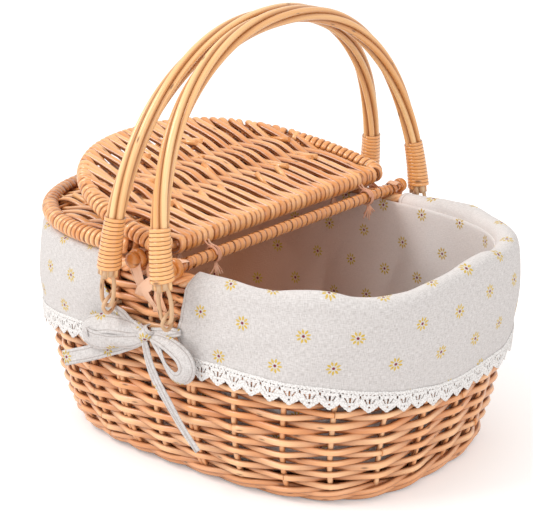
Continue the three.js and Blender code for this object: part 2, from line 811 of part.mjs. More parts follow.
const bowPlane = bowlHalfWidth + clothEase + clothThickness + foldDepth + gap;
const bowHeight = handlePivotZ - loopDrop - bowDrop;
for (const [end, turn] of [['near', 0], ['far', Math.PI]]) {
  const group = new THREE.Group();
  group.rotation.z = turn;
  basket.add(group);
  const knotHalf = knotWidth / 2;
  const knot = new THREE.BoxGeometry(knotWidth, knotThickness, knotHeight);
  knot.translate(0, -bowPlane - knotThickness / 2, bowHeight);
  piece(`bow_${end}_knot`, knot, linen, group);
  const clear = knotHalf + gap;
  const from = (x) => [x, bowHeight];
  const to = (reach, rise) => [reach, bowHeight + rise];
  const sides = {
    left: [
      ribbonLoop(from(-clear), to(-leftLoopReach, -leftLoopDrop), loopWidth),
      ribbonStrip(from(-clear), to(-leftTailReach, -leftTailDrop), ribbonPinch, ribbonWidth),
      ribbonStrip(from(-clear), to(-bandReach, bandRise), ribbonPinch, ribbonWidth),
    ],
    right: [
      ribbonLoop(from(clear), to(rightLoopReach, -rightLoopDrop), loopWidth),
      ribbonStrip(from(clear + ribbonPinch / 2), to(rightTailReach, -rightTailDrop), ribbonPinch),
      ribbonStrip(from(clear), to(bandReach, bandRise), ribbonPinch, ribbonWidth),
    ],
  };
  for (const [side, parts] of Object.entries(sides)) {
    const joined = unite(parts);
    joined.translate(0, -bowPlane, 0);
    const cutter = new THREE.BoxGeometry(2 * clear, 4 * knotThickness, 4 * knotHeight);
    cutter.translate(0, -bowPlane, bowHeight);
    piece(`bow_${end}_ribbon_${side}`, subtract(joined, [cutter]), linen, group);
  }
}

export default basket;
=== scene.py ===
import math
import random

import bpy
import numpy as np
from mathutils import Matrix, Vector


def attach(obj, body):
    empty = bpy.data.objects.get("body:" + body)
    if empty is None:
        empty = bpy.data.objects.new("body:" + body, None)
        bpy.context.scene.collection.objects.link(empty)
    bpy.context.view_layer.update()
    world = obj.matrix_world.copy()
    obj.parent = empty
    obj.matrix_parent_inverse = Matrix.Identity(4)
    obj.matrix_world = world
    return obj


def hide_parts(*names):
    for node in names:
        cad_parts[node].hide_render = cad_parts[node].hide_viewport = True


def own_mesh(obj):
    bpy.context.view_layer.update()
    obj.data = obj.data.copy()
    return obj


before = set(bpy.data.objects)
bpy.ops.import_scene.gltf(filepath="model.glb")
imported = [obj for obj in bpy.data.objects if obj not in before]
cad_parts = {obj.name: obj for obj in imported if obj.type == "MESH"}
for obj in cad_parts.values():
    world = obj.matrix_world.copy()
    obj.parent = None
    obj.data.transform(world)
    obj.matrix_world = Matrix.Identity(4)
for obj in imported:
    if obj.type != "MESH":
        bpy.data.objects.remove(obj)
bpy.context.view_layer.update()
random.seed(7)


# Camera: the photograph looks down on the basket's near long side and its open end, from
# 1.5 m away, with a long lens. Lengths in this file are in millimetres until a mesh is made.
MM = 0.001
view_distance = 1.5
focal_pixels = 1713.66
photo_width = 533
view_azimuth = math.radians(38.98)
view_elevation = math.radians(18.16)
view_target = Vector((-10.64, 0.5, 153.83)) * MM
view_back = Vector((
    math.sin(view_azimuth) * math.cos(view_elevation),
    -math.cos(view_azimuth) * math.cos(view_elevation),
    math.sin(view_elevation),
))
bpy.ops.object.camera_add(
    location=view_target + view_back * view_distance,
    rotation=view_back.to_track_quat("Z", "Y").to_euler(),
)
camera = bpy.context.object
camera.name = "photo_camera"
camera.data.sensor_fit = "HORIZONTAL"
camera.data.sensor_width = 36
camera.data.lens = focal_pixels * camera.data.sensor_width / photo_width
bpy.context.scene.camera = camera


# Floor and light: a white sweep under soft light from the upper left and a fill from the
# right. The floor glows a little for the camera alone, so it reads white around the shadow.
bpy.context.scene.view_settings.view_transform = "Standard"


def linear(colour):
    parts = [int(colour[i:i + 2], 16) / 255 for i in (0, 2, 4)]
    return tuple(c / 12.92 if c <= 0.04045 else ((c + 0.055) / 1.055) ** 2.4 for c in parts) + (1,)


def add(tree, kind, inputs=None, **settings):
    """Adds a node with its settings and inputs, and gives its first output that is in use."""
    node = tree.nodes.new("ShaderNode" + kind)
    for name, value in settings.items():
        setattr(node, name, value)
    for name, value in (inputs or {}).items():
        if isinstance(value, bpy.types.NodeSocket):
            tree.links.new(value, node.inputs[name])
        else:
            node.inputs[name].default_value = value
    return next((socket for socket in node.outputs if socket.enabled), None)


def new_tree(name):
    material = bpy.data.materials.new(name)
    material.use_nodes = True
    material.node_tree.nodes.clear()
    return material, material.node_tree


paper, tree = new_tree("matte_paper_sweep")
sweep_colour = add(tree, "BsdfDiffuse", {"Color": linear("F4F2F2")})
sweep_ray = add(tree, "LightPath")
sweep_glow = add(tree, "Math", {0: sweep_ray, 1: 0.24}, operation="MULTIPLY")
sweep_lift = add(tree, "Emission", {"Strength": sweep_glow})
sweep_both = add(tree, "AddShader", {0: sweep_colour, 1: sweep_lift})
add(tree, "OutputMaterial", {"Surface": sweep_both})
bpy.ops.mesh.primitive_plane_add(size=8, location=(0, 0, -0.0005))
floor = bpy.context.object
floor.name = "floor"
floor.data.materials.append(paper)

world = bpy.data.worlds.new("studio")
bpy.context.scene.world = world
world.use_nodes = True
tree = world.node_tree
tree.nodes.clear()
sky_ray = add(tree, "LightPath")
sky_seen = add(tree, "Math", {0: sky_ray, 1: sky_ray.node.outputs["Is Transmission Ray"]},
               operation="MAXIMUM")
sky_strength = add(tree, "MapRange", {"Value": sky_seen, "To Min": 0.98})
sky = add(tree, "Background", {"Color": linear("FFFDFA"), "Strength": sky_strength})
add(tree, "OutputWorld", {"Surface": sky})
lamp_aim = Vector((0, 0, 0.12))


def soft_lamp(name, place, size, power, colour):
    bpy.ops.object.light_add(type="AREA", location=place)
    lamp = bpy.context.object
    lamp.name = name
    lamp.rotation_euler = (Vector(place) - lamp_aim).to_track_quat("Z", "Y").to_euler()
    lamp.data.size = size
    lamp.data.energy = power
    lamp.data.color = linear(colour)[:3]


soft_lamp("window_light", (-0.9, -1.5, 1.9), 1.1, 27, "FFFEFC")
soft_lamp("fill_light", (1.9, -0.9, 1.0), 1.2, 8, "FAFCFF")


# Bowl wall: round steamed willow rods randed on upright willow stakes about 41 mm apart,
# each row in front of one stake and behind the next. The wall leans out more at the ends.
wall_top = 171.6
bowl_half_length = 200
bowl_half_width = 153
bowl_power = 3.05


def outline(angle, half_length, half_width, power):
    c, s = np.cos(angle), np.sin(angle)
    return np.stack([half_length * np.sign(c) * np.abs(c) ** (2 / power),
                     half_width * np.sign(s) * np.abs(s) ** (2 / power)], axis=-1)


def lengths_along(line):
    """Lengths from a line's start to each of its points."""
    return np.concatenate([[0], np.cumsum(np.linalg.norm(np.diff(line, axis=0), axis=1))])


fine_angles = np.linspace(0, 2 * math.pi, 4001)
fine_lengths = lengths_along(outline(fine_angles, bowl_half_length, bowl_half_width, bowl_power))
rim_length = fine_lengths[-1]


def bowl(share, z, offset=0.0):
    """Point of the bowl's outer face at a share of the way round, from the open end's middle."""
    share, z, offset = np.broadcast_arrays(share, z, offset)
    angle = np.interp((share % 1) * rim_length, fine_lengths, fine_angles)
    left = 1 - np.clip(z / wall_top, 0, 1)
    flat = outline(angle, bowl_half_length - 27 * left ** 1.64 + offset,
                   bowl_half_width - 28 * left ** 5 + offset, bowl_power)
    return np.concatenate([flat, z[..., None]], axis=-1)


def points_at(x, y, z):
    return np.stack(np.broadcast_arrays(x, y, z), axis=-1)


def unit(ways):
    return ways / np.linalg.norm(ways, axis=-1, keepdims=True)


def rod(points, radius, deep=0.0, face=None, flat=None, oval=False, beside=(0, 0, 0)):
    """One rod or strip: its middle line, its radius or half width, how much painted shade its
    colour gets for lying in the shade of the others (0 to 1), for a strip or an oval rod the
    way it faces and its half thickness, and which way its neighbours lie beside it, which sets
    a painted dark band of shade along its flanks. It draws its own tint."""
    points = np.asarray(points, float)
    return {
        "points": points,
        "radius": np.broadcast_to(np.asarray(radius, float), len(points)),
        "deep": np.broadcast_to(np.asarray(deep, float), len(points)),
        "tint": random.random(),
        "face": face,
        "flat": flat,
        "oval": oval,
        "beside": np.broadcast_to(beside, points.shape),
    }


def rod_rings(item, sides):
    points = item["points"]
    along = unit(np.gradient(points, axis=0))
    if item["face"] is None:
        start = np.cross(along[0], (0.31, 0.21, 0.93))
        normals = [start / np.linalg.norm(start)]
        for i in range(1, len(points)):
            n = normals[-1] - along[i] * np.dot(normals[-1], along[i])
            normals.append(n / np.linalg.norm(n))
        normal = np.array(normals)
    else:
        face = np.broadcast_to(item["face"], points.shape)
        normal = unit(face - along * np.sum(face * along, axis=1)[:, None])
    side = np.cross(normal, along)
    turn = 2 * math.pi * np.arange(sides) / sides
    c, s = np.cos(turn), np.sin(turn)
    radius = item["radius"][:, None, None]
    thick = radius
    if item["flat"] is not None:
        if not item["oval"]:
            c = np.sign(c) * np.abs(c) ** 0.5
            s = np.sign(s) * np.abs(s) ** 0.8
        thick = np.broadcast_to(np.asarray(item["flat"], float), (len(points),))[:, None, None]
    return (points[:, None] + side[:, None] * (radius * c[None, :, None])
            + normal[:, None] * (thick * s[None, :, None]))


def new_piece(name, places, faces, uv_name, uvs, colour_name, colours, material, body):
    """A piece from points in millimetres, with a UV map in metres and a colour at each point."""
    mesh = bpy.data.meshes.new(name)
    mesh.from_pydata((places.reshape(-1, 3) * MM).tolist(), [], faces)
    mesh.uv_layers.new(name=uv_name).data.foreach_set("uv", uvs.ravel())
    mesh.color_attributes.new(colour_name, "FLOAT_COLOR", "POINT")
    mesh.color_attributes[colour_name].data.foreach_set("color", colours.ravel())
    mesh.polygons.foreach_set("use_smooth", [len(face) == 4 for face in faces])
    mesh.materials.append(material)
    mesh.update()
    piece = bpy.data.objects.new(name, mesh)
    bpy.context.scene.collection.objects.link(piece)
    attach(piece, body)
    return piece


def rod_piece(name, rods, material, body, sides=8, replaces=()):
    """All rods of one piece as one mesh, with a UV map in metres along and round each rod, and
    in the colour its tint, its painted shade and how near it is to the rods beside it, for painted
    dark lines of shade between rods."""
    places, faces, uvs, colours = [], [], [], []
    start = 0
    for item in rods:
        rings = rod_rings(item, sides)
        count = len(rings)
        run = (lengths_along(item["points"]) + 900 * item["tint"]) * MM
        girth = 2 * math.pi * float(np.mean(item["radius"])) * MM
        places.append(rings.reshape(-1, 3))
        colour = np.ones((count, sides, 4))
        colour[..., 0] = item["tint"]
        # Painted shade: green is how deep the rod lies in the shade of others, blue how near this
        # point is to a neighbouring rod.
        colour[..., 1] = item["deep"][:, None]
        across = np.sum((rings - item["points"][:, None]) * item["beside"][:, None], axis=-1)
        colour[..., 2] = np.abs(across) / item["radius"][:, None]
        colours.append(colour.reshape(-1, 4))
        i = np.arange(count - 1)[:, None]
        j = np.arange(sides)[None, :]
        k = (j + 1) % sides
        quads = start + np.stack([i * sides + j, i * sides + k, (i + 1) * sides + k,
                                  (i + 1) * sides + j], axis=-1)
        faces.extend(quads.reshape(-1, 4).tolist())
        low, high, left, right = np.broadcast_arrays(run[i], run[i + 1], j / sides * girth,
                                                     (j + 1) / sides * girth)
        uvs.append(np.stack([low, left, low, right, high, right, high, left], axis=-1)
                   .reshape(-1, 2))
        faces.append(list(range(start + sides - 1, start - 1, -1)))
        faces.append(list(range(start + (count - 1) * sides, start + count * sides)))
        for end in (run[0], run[-1]):
            uvs.append(np.tile([[end, 0.0]], (sides, 1)))
        start += count * sides
    piece = new_piece(name, np.concatenate(places), faces, "rod_run", np.concatenate(uvs),
                      "rod_tint_and_painted_shade", np.concatenate(colours), material, body)
    if replaces:
        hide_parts(*replaces)


def willow(name, pale, middle, deep, roughness, coat=0.5):
    """Peeled willow under a clear varnish: long streaks along each rod and small dark buds, with
    painted red-brown shade in the colour deep where other rods shade a rod and along its flanks,
    and a painted near-black line of shade where two rods meet."""
    material, tree = new_tree(name)
    run = add(tree, "UVMap", uv_map="rod_run")
    tint = add(tree, "Attribute", attribute_name="rod_tint_and_painted_shade")
    tint_and_shade = add(tree, "SeparateColor", {"Color": tint}).node.outputs
    streak_run = add(tree, "Mapping", {"Vector": run, "Scale": (28, 900, 1)})
    streak = add(tree, "TexNoise", {"Vector": streak_run, "Scale": 1.0, "Detail": 3,
                                    "Roughness": 0.6})
    patch_run = add(tree, "Mapping", {"Vector": run, "Scale": (16, 60, 1)})
    patch = add(tree, "TexNoise", {"Vector": patch_run, "Scale": 1.0, "Detail": 1})
    bud_run = add(tree, "Mapping", {"Vector": run, "Scale": (38, 140, 1)})
    bud = add(tree, "TexVoronoi", {"Vector": bud_run, "Scale": 1.0}, voronoi_dimensions="2D")
    bud_mark = add(tree, "MapRange", {"Value": bud, "From Min": 0.05, "From Max": 0.15,
                                      "To Min": 0.75, "To Max": 0.0})
    bud_pick = add(tree, "SeparateColor", {"Color": bud.node.outputs["Color"]})
    bud_some = add(tree, "Math", {0: bud_pick, 1: 0.8}, operation="GREATER_THAN")
    bud_spot = add(tree, "Math", {0: bud_mark, 1: bud_some}, operation="MULTIPLY")
    tone = add(tree, "Math", {0: streak, 1: 0.7, 2: -0.2}, operation="MULTIPLY_ADD")
    for source, weight in ((tint_and_shade[0], 0.75), (patch, 0.5)):
        tone = add(tree, "Math", {0: source, 1: weight, 2: tone}, operation="MULTIPLY_ADD")
    ramp = add(tree, "MapRange", {"Value": tone, "From Min": 0.2, "From Max": 1.15})
    # Painted shade: the green channel darkens a rod towards deep where it lies in the shade of
    # others; the blue gives a painted band of shade on its flanks and a painted dark line where
    # two rods meet.
    painted_shade = add(tree, "Math", {0: tint_and_shade[1], 1: 0.9}, operation="MULTIPLY")
    flank_shade, touch_shade_line = (add(tree, "MapRange", {"Value": tint_and_shade[2], "From Min": near, "To Max": most},
                       interpolation_type="SMOOTHSTEP")
                   for near, most in ((0.5, 0.7), (0.88, 0.9)))
    wood = linear(pale)
    for share, colour in ((ramp, middle), (painted_shade, deep), (flank_shade, deep), (touch_shade_line, "3A1407"),
                          (bud_spot, "5E3418")):
        wood = add(tree, "Mix", {0: share, 6: wood, 7: linear(colour)}, data_type="RGBA")
    bump = add(tree, "Bump", {"Height": streak, "Strength": 0.4, "Distance": 0.0006})
    finish = add(tree, "BsdfPrincipled", {"Base Color": wood, "Roughness": roughness, "IOR": 1.5,
                                          "Coat Weight": coat, "Coat Roughness": 0.18,
                                          "Normal": bump})
    add(tree, "OutputMaterial", {"Surface": finish})
    return material


wall_willow = willow("varnished_willow_wall", "FFD2A2", "F0A66A", "A05226", 0.34)
stake_willow = willow("varnished_willow_stakes", "FFD8AC", "F4B078", "BC6E3C", 0.36)

stake_shares = [0.676, 0.7065, 0.7415, 0.778, 0.8163, 0.8552, 0.8905, 0.9278, 0.9658, 1.008]
hidden_stakes = 18
hidden_gap = (1 + stake_shares[0] - stake_shares[-1]) / (hidden_stakes + 1)
stake_shares += [stake_shares[9] + hidden_gap * k for k in range(1, hidden_stakes + 1)]
stake_count = len(stake_shares)
row_pitch = 5.75
row_count = 27
first_row = 19.0
weaver_radius = 2.9
weave_swing = 3.9
weave_middle = -4.5


def triangle_wave(phase):
    return (np.cos(phase) + 0.12 * np.cos(3 * phase)) / 1.12


def round_shares(steps):
    """Shares of the way round, with the same number of steps between each two stakes."""
    ends = stake_shares + [stake_shares[0] + 1]
    count = np.arange(stake_count * steps + 1)
    return count / steps, np.interp(count / steps, np.arange(stake_count + 1), ends)


steps = 8
weavers = []
for row in range(row_count):
    passed, shares = round_shares(steps)
    wave = triangle_wave(math.pi * (passed + row))
    wobble = 0.5 * np.sin(passed * 1.7 + row * 2.1) + 0.35 * np.sin(passed * 3.9 + row)
    heights = first_row + row * row_pitch + wobble
    line = bowl(shares, heights, weave_middle + weave_swing * wave)
    joins = range((row * 5) % 9 * steps, len(line) - 2 * steps, 9 * steps)
    cuts = [0, *(join for join in joins if join > 2 * steps), len(line) - 1]
    for start, end in zip(cuts[:-1], cuts[1:]):
        taper = np.linspace(1.07, 0.9, end - start + 1)
        size = weaver_radius * taper * random.uniform(0.88, 1.08)
        out = bowl(shares, heights, 10) - bowl(shares, heights, 0)
        part = slice(start, end + 1)
        # Painted shade: a weaver's colour is darker where it passes behind a stake.
        weavers.append(rod(line[part], size * 1.1, 0.5 - 0.5 * wave[part], face=out[part],
                           flat=size * 0.92, oval=True, beside=(0, 0, 1)))
rod_piece("wall_weavers", weavers, wall_willow, "basket",
          replaces=["wall_weave_lower", "wall_weave_upper"])


def bowl_along(share):
    """Level way round the bowl at a share of its outline."""
    step = bowl(share + 0.002, 100) - bowl(share - 0.002, 100)
    return step / np.linalg.norm(step)


stake_line = np.concatenate([[2], np.linspace(8, 174, 58)])
stakes = []
doubled_stakes = (1, 3, 14, 22)
for number, share in enumerate(stake_shares):
    doubles = [-0.0019, 0.0022] if number in doubled_stakes else [0]
    for shift in doubles:
        bend = 0.7 * np.cos(math.pi * ((stake_line - first_row) / row_pitch + number + 1))
        line = bowl(share + shift, stake_line, weave_middle + bend)
        stakes.append(rod(line, random.uniform(2.35, 2.65), 0.15, beside=bowl_along(share)))
rod_piece("wall_stakes", stakes, stake_willow, "basket")

# Upsett: two rounds of three thicker rods, each in front of two stakes and behind one, that
# turn the stakes up at the base's edge.
upsett_willow = willow("varnished_willow_upsett", "FAC294", "E49C64", "9A5228", 0.38)
upsett = []
for height, lean in ((5.3, -1.6), (11.2, 0.0)):
    for strand in range(3):
        passed, shares = round_shares(steps)
        phase = 2 * math.pi * (passed + strand) / 3
        swing = np.cos(phase) + 0.18 * np.cos(2 * phase)
        line = bowl(shares, height + 2.3 * np.sin(phase), weave_middle + 0.6 + 3.2 * swing + lean)
        # Painted shade: each strand's colour is darker where it swings in behind the others.
        upsett.append(rod(line, 2.7 * random.uniform(0.96, 1.05), 0.4 - 0.3 * swing,
                          beside=(0, 0, 1)))
rod_piece("upsett_rods", upsett, upsett_willow, "basket", replaces=["upsett_wale"])

# Base: willow rods woven along the basket over flat sticks that lie across it, trimmed to
# the upsett.
base_half_length = 166
base_half_width = 118
base_sticks, base_weavers = [], []


def base_reach(place, half, half_across):
    """How far the base reaches each way at a place across it."""
    return half * (1 - (abs(place) / half_across) ** bowl_power) ** (1 / bowl_power)


for x in np.linspace(-140, 140, 9):
    reach = base_reach(x, base_half_width, base_half_length)
    base_sticks.append(rod(points_at(x, np.linspace(-reach, reach, 30), 5.6), 3.1, 0.2))
for row in range(45):
    y = (row - 22) * 5.1
    reach = base_reach(y, base_half_length, base_half_width)
    x = np.linspace(-reach, reach, 64)
    lift = 2.7 * triangle_wave(math.pi * (x / 35 + row))
    # Painted shade: a weaver's colour is a little darker where it rises over a stick.
    base_weavers.append(rod(points_at(x, y, 5.4 + lift), 2.35, 0.3 + 0.1 * lift, beside=(0, 1, 0)))
rod_piece("base_sticks", base_sticks, upsett_willow, "basket", sides=6)
rod_piece("base_rods", base_weavers, wall_willow, "basket", sides=6, replaces=["base_weave"])

# Rim: a rolled border of willow rods laid round each other along the wall's top.
rim_height = 178.4
rim_radius = 6.5


def rim_dip(share):
    """How far the soft border sags at each share of the way round, in millimetres."""
    turn = (np.asarray(share, float) + 0.5) % 1 - 0.5
    sags = ((2.6, -0.15, 0.03), (5.0, -0.075, 0.04), (1.2, 0.385, 0.06))
    return sum(deep * np.exp(-((turn - place) / half) ** 2) for deep, place, half in sags)


border_rods = []
border_shares = np.linspace(0, 1, 420)
for strand in range(5):
    phase = 2 * math.pi * (border_shares * 26 + strand / 5)
    line = bowl(border_shares, rim_height, -rim_radius + 3.9 * np.cos(phase))
    line[:, 2] = rim_height - 0.4 - rim_dip(border_shares) + 3.7 * np.sin(phase)
    # Painted shade: each strand's colour is darker where its twist takes it low in the roll.
    border_rods.append(rod(line, 2.6, 0.2 - 0.2 * np.sin(phase)))
rod_piece("rim_rods", border_rods, wall_willow, "basket", replaces=["rim_border"])

# Cross bars: two straight willow sticks that carry the lids, each wound from end to end
# with flat split cane and finished with a short bound knob.
bar_places = {"left": -20, "right": 20}
bar_radius = 4.2
bar_height = 188.6
bar_knob = 156
bar_willow = willow("varnished_willow_bars", "D48A46", "AC6228", "6C3010", 0.22)
glossy_cane = willow("glossy_split_cane", "ECA258", "C87834", "7A360E", 0.18, 1.0)
knob_steps = ((0.2, 1.3), (0.7, 1.14), (1.3, 1.05), (2.2, 1.0), (1.2, 0.93), (0.9, 0.8),
              (0.5, 0.6), (0.15, 0.3))


def bar_winding(turn, x, y, radius, half, flat, deep):
    """Strip of cane wound round a bar, at turns round it and places along it."""
    out = points_at(np.cos(turn), 0, np.sin(turn))
    return rod(points_at(x, y, bar_height) + out * (bar_radius + radius), half, deep, face=out,
               flat=flat, beside=(0, 1, 0))


for side, x in bar_places.items():
    bpy.ops.object.select_all(action="DESELECT")
    bpy.ops.mesh.primitive_cylinder_add(
        vertices=28, radius=bar_radius * MM, depth=2 * bar_knob * MM,
        location=(x * MM, 0, bar_height * MM), rotation=(math.pi / 2, 0, 0), end_fill_type="NGON")
    stick = bpy.context.object
    stick.name = f"bar_{side}"
    bpy.ops.object.transform_apply(location=True, rotation=True, scale=True)
    bpy.ops.object.mode_set(mode="EDIT")
    bpy.ops.mesh.select_mode(type="FACE")
    for end in (-1, 1):
        bpy.ops.mesh.select_all(action="DESELECT")
        bpy.ops.object.mode_set(mode="OBJECT")
        for face in stick.data.polygons:
            face.select = face.normal.y * end > 0.9
        bpy.ops.object.mode_set(mode="EDIT")
        place = (x * MM, end * bar_knob * MM, bar_height * MM)
        for push, widen in knob_steps:
            bpy.ops.mesh.extrude_region_move(
                TRANSFORM_OT_translate={"value": (0, end * push * MM, 0)})
            bpy.ops.transform.resize(value=(widen, 1, widen), center_override=place)
    bpy.ops.object.mode_set(mode="OBJECT")
    run_map = stick.data.uv_layers.new(name="rod_run")
    for loop in stick.data.loops:
        corner = stick.data.vertices[loop.vertex_index].co
        turn = math.atan2(corner.z - bar_height * MM, corner.x - x * MM)
        run_map.data[loop.index].uv = (corner.y + x, turn * bar_radius * MM)
    bpy.ops.object.shade_smooth_by_angle(angle=math.radians(40))
    stick.data.materials.append(bar_willow)
    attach(stick, "basket")
    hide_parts(f"hinge_bar_{side}")

    pitch, reach = 6.9, 136
    turns = 2 * reach / pitch
    turn = np.linspace(0, 2 * math.pi * turns, int(turns * 22))
    y = -reach + turn / (2 * math.pi) * pitch + 0.35 * np.sin(turn * 0.37 + x)
    wraps = [bar_winding(turn, x, y, 0.6, 3.42, 0.42, 0.06)]
    turn = np.linspace(0, 2 * math.pi * 2.2, 60)
    for end in (-1, 1):
        wraps.append(bar_winding(turn, x, end * (152.5 - 1.1 * turn), 0.7, 2.9, 0.7, 0.1))
    rod_piece(f"bar_cane_{side}", wraps, glossy_cane, "basket", replaces=[f"bar_wrap_{side}"])

# Lashings: flat cane bound over the rim between the bars. Two strips come from the bars' ends
# and two from inside the bowl, and they cross each other on the wall.
flat_cane = willow("flat_split_cane", "F4CBAE", "E0AA86", "B0704A", 0.62, 0.05)


def along_line(line, lengths, at):
    """Points of a line at some lengths from its start."""
    return np.stack([np.interp(at, lengths, column) for column in line.T], axis=-1)


def smooth_line(points, count):
    """Even points along a smooth line through the given ones."""
    points = np.asarray(points, float)
    padded = np.concatenate([[2 * points[0] - points[1]], points, [2 * points[-1] - points[-2]]])
    fine = []
    for i in range(len(points) - 1):
        p0, p1, p2, p3 = padded[i:i + 4]
        t = np.linspace(0, 1, 24, endpoint=False)[:, None]
        fine.append(0.5 * (2 * p1 + (p2 - p0) * t + (2 * p0 - 5 * p1 + 4 * p2 - p3) * t ** 2
                           + (3 * p1 - p0 - 3 * p2 + p3) * t ** 3))
    fine = np.concatenate(fine + [points[-1:]])
    lengths = lengths_along(fine)
    return along_line(fine, lengths, np.linspace(0, lengths[-1], count))


strap_courses = [
    (5.4, [(-22, 142, 193.4), (-21, 150, 193.8), (-19, 157.5, 186), (-13, 159.4, 174),
           (-7, 158.6, 163), (-1, 153, 150)]),
    (5.2, [(22, 142, 193), (20, 150, 193.2), (13, 158.2, 184.5), (3, 160, 176),
           (-8, 160.2, 167), (-17, 154, 158)]),
    (4.0, [(-9, 140, 172), (-9.5, 141, 183), (-8, 147, 186.5), (-5, 154.5, 182),
           (3, 156.6, 168), (8, 152, 149)]),
    (4.0, [(9, 140, 172), (9.5, 141, 183), (9, 147, 186.5), (8, 154.5, 182),
           (6, 157.2, 168), (0, 152.5, 147)]),
]
ends = {"near": -1, "far": 1}
for end, sign in ends.items():
    strips = []
    for half, line in strap_courses:
        path = smooth_line(line, 44)
        out = path - (0, 142, 174)
        out[:, 0] = 0
        strips.append(rod(path * (-sign, sign, 1), half, face=out * (1, sign, 1), flat=0.55))
    rod_piece(f"rim_straps_{end}", strips, flat_cane, "basket", sides=10,
              replaces=[f"rim_lashing_{end}"])

# Handles: five thick peeled rods twisted once round each other over the arch, whipped at
# each foot with glossy cane; two ends run on below and close into an eye.
handle_span = 177
handle_rise = 210
handle_foot = 25
handle_pivot = 32
handle_pivot_height = 158
handle_tilt = 6.782
handle_willow = willow("varnished_willow_handles", "FAD29A", "E6A868", "B06830", 0.26)
bent_willow = willow("bent_willow_links", "DDB892", "C29A72", "8C6440", 0.5, 0.2)
whipping_cane = willow("glossy_whipping_cane", "FABE7C", "E0964E", "944A18", 0.2, 0.9)
arch_flat = outline(np.linspace(0, math.pi, 3001), handle_span, handle_rise - handle_foot, 2.2)
arch_line = points_at(0, -arch_flat[:, 0], handle_foot + np.maximum(arch_flat[:, 1], 0))
arch_lengths = lengths_along(arch_line)
arch_length = arch_lengths[-1]
across_x = np.array([1.0, 0, 0])


def way_along(line, lengths, at, step):
    return unit(along_line(line, lengths, np.clip(at + step, 0, lengths[-1]))
                - along_line(line, lengths, np.clip(at - step, 0, lengths[-1])))


def arch(run):
    """Middle line of a handle and the way across it, at lengths along the arch."""
    inside = np.clip(run, 0, arch_length)
    along = way_along(arch_line, arch_lengths, inside, 2)
    place = along_line(arch_line, arch_lengths, inside) + along * (run - inside)[:, None]
    return place, np.cross(along, across_x)


def lean(points, degrees, pivot=(0, 0, 0)):
    """Points of a moving body put where it stands, turned about the Y axis."""
    c, s = math.cos(math.radians(degrees)), math.sin(math.radians(degrees))
    x, y, z = np.moveaxis(np.asarray(points, float), -1, 0)
    return points_at(x * c + z * s, y, z * c - x * s) + pivot


stub_ends = ((-1.5, 5.2, 21), (5.6, -3.6, 22.5), (-5.4, -3.4, 21.5), (1.8, -5.8, 20.5))
for side, sign in (("front", 1), ("back", -1)):
    pivot = (sign * handle_pivot, 0, handle_pivot_height)
    tilt = -sign * handle_tilt
    body = f"handle_{side}"
    rods = []
    run = np.linspace(-3.5, arch_length + 3.5, 170)
    place, across = arch(run)
    for strand in range(5):
        phase = 2 * math.pi * (strand / 5 + run / arch_length)
        ring = 4.55 + 0.25 * np.sin(run / 37 + strand * 2)
        line = (place + across * (ring * np.cos(phase))[:, None]
                + across_x * (ring * np.sin(phase))[:, None])
        size = np.linspace(3.05, 2.7, 170) if strand % 2 else np.linspace(2.75, 3.0, 170)
        round_way = across_x * np.cos(phase)[:, None] - across * np.sin(phase)[:, None]
        # Painted shade: a thin dark band on each rod's flanks where it lies against the next rod.
        rods.append(rod(lean(line, tilt, pivot), size, 0.05, beside=0.93 * lean(round_way, tilt)))
    rod_piece(f"handle_{side}_rods", rods, handle_willow, body, sides=14,
              replaces=[f"handle_{side}_rod_{k}" for k in range(1, 6)])
    for end, y_sign in ends.items():
        turns = 13
        turn = np.linspace(0, 2 * math.pi * turns, turns * 28)
        down = np.linspace(0, 1, len(turn))
        foot_run = 45 - 42.5 * down
        run = foot_run if y_sign < 0 else arch_length - foot_run
        place, across = arch(run)
        out = across * np.cos(turn)[:, None] + across_x * np.sin(turn)[:, None]
        bulge = 7.8 + 1.5 * down ** 1.3
        along = np.cross(across_x, across)
        line = place + out * bulge[:, None]
        # Painted shade: a thin dark line on each turn's edges where it meets the next turn.
        strip = rod(lean(line, tilt, pivot), 1.68, 0.04, face=lean(out, tilt), flat=0.85,
                    beside=0.97 * lean(along, tilt))
        rod_piece(f"handle_{side}_whipping_cane_{end}", [strip], whipping_cane, body, sides=10,
                  replaces=[f"handle_{side}_whipping_{end}"])
        y = y_sign * handle_span
        eye = [(-3.0, y, 34), (-4.2, y - y_sign, 26), (-6.2, y, 16), (-6.6, y, 6), (-4.8, y, -2.6),
               (0, y, -5.6), (4.8, y, -2.6), (6.6, y, 6), (6.2, y, 16), (4.2, y + y_sign, 26),
               (3.0, y, 34)]
        stubs = [rod(lean([(x, y + dy, 32), (x * 1.05, y + dy * 1.1, z)], tilt, pivot), 2.2, 0.1)
                 for x, dy, z in stub_ends]
        loop = rod(lean(smooth_line(eye, 60), tilt, pivot), 1.75, 0.1)
        rod_piece(f"handle_{side}_loop_{end}", [loop, *stubs], bent_willow, body, sides=10,
                  replaces=[f"handle_{side}_eye_{end}"])

# Wall loops: a thin rod bent through each handle's eye and tucked back into the wall.
for side, x in (("front", handle_pivot), ("back", -handle_pivot)):
    for end, sign in ends.items():
        bend = 13 * sign
        hook = [(x + bend, 143, 160), (x + bend, 154, 159.2), (x + bend * 0.3, 168, 158.6),
                (x, 177.5, 157.8), (x, 182, 152), (x, 177.5, 146.2), (x + bend * 0.3, 168, 145.4),
                (x + bend, 154, 145.2), (x + bend, 143, 144)]
        line = smooth_line(hook, 48) * (1, sign, 1)
        rod_piece(f"wall_hook_{side}_{end}", [rod(line, 1.6, 0.15)], bent_willow, "basket",
                  sides=10, replaces=[f"wall_loop_{side}_{end}"])

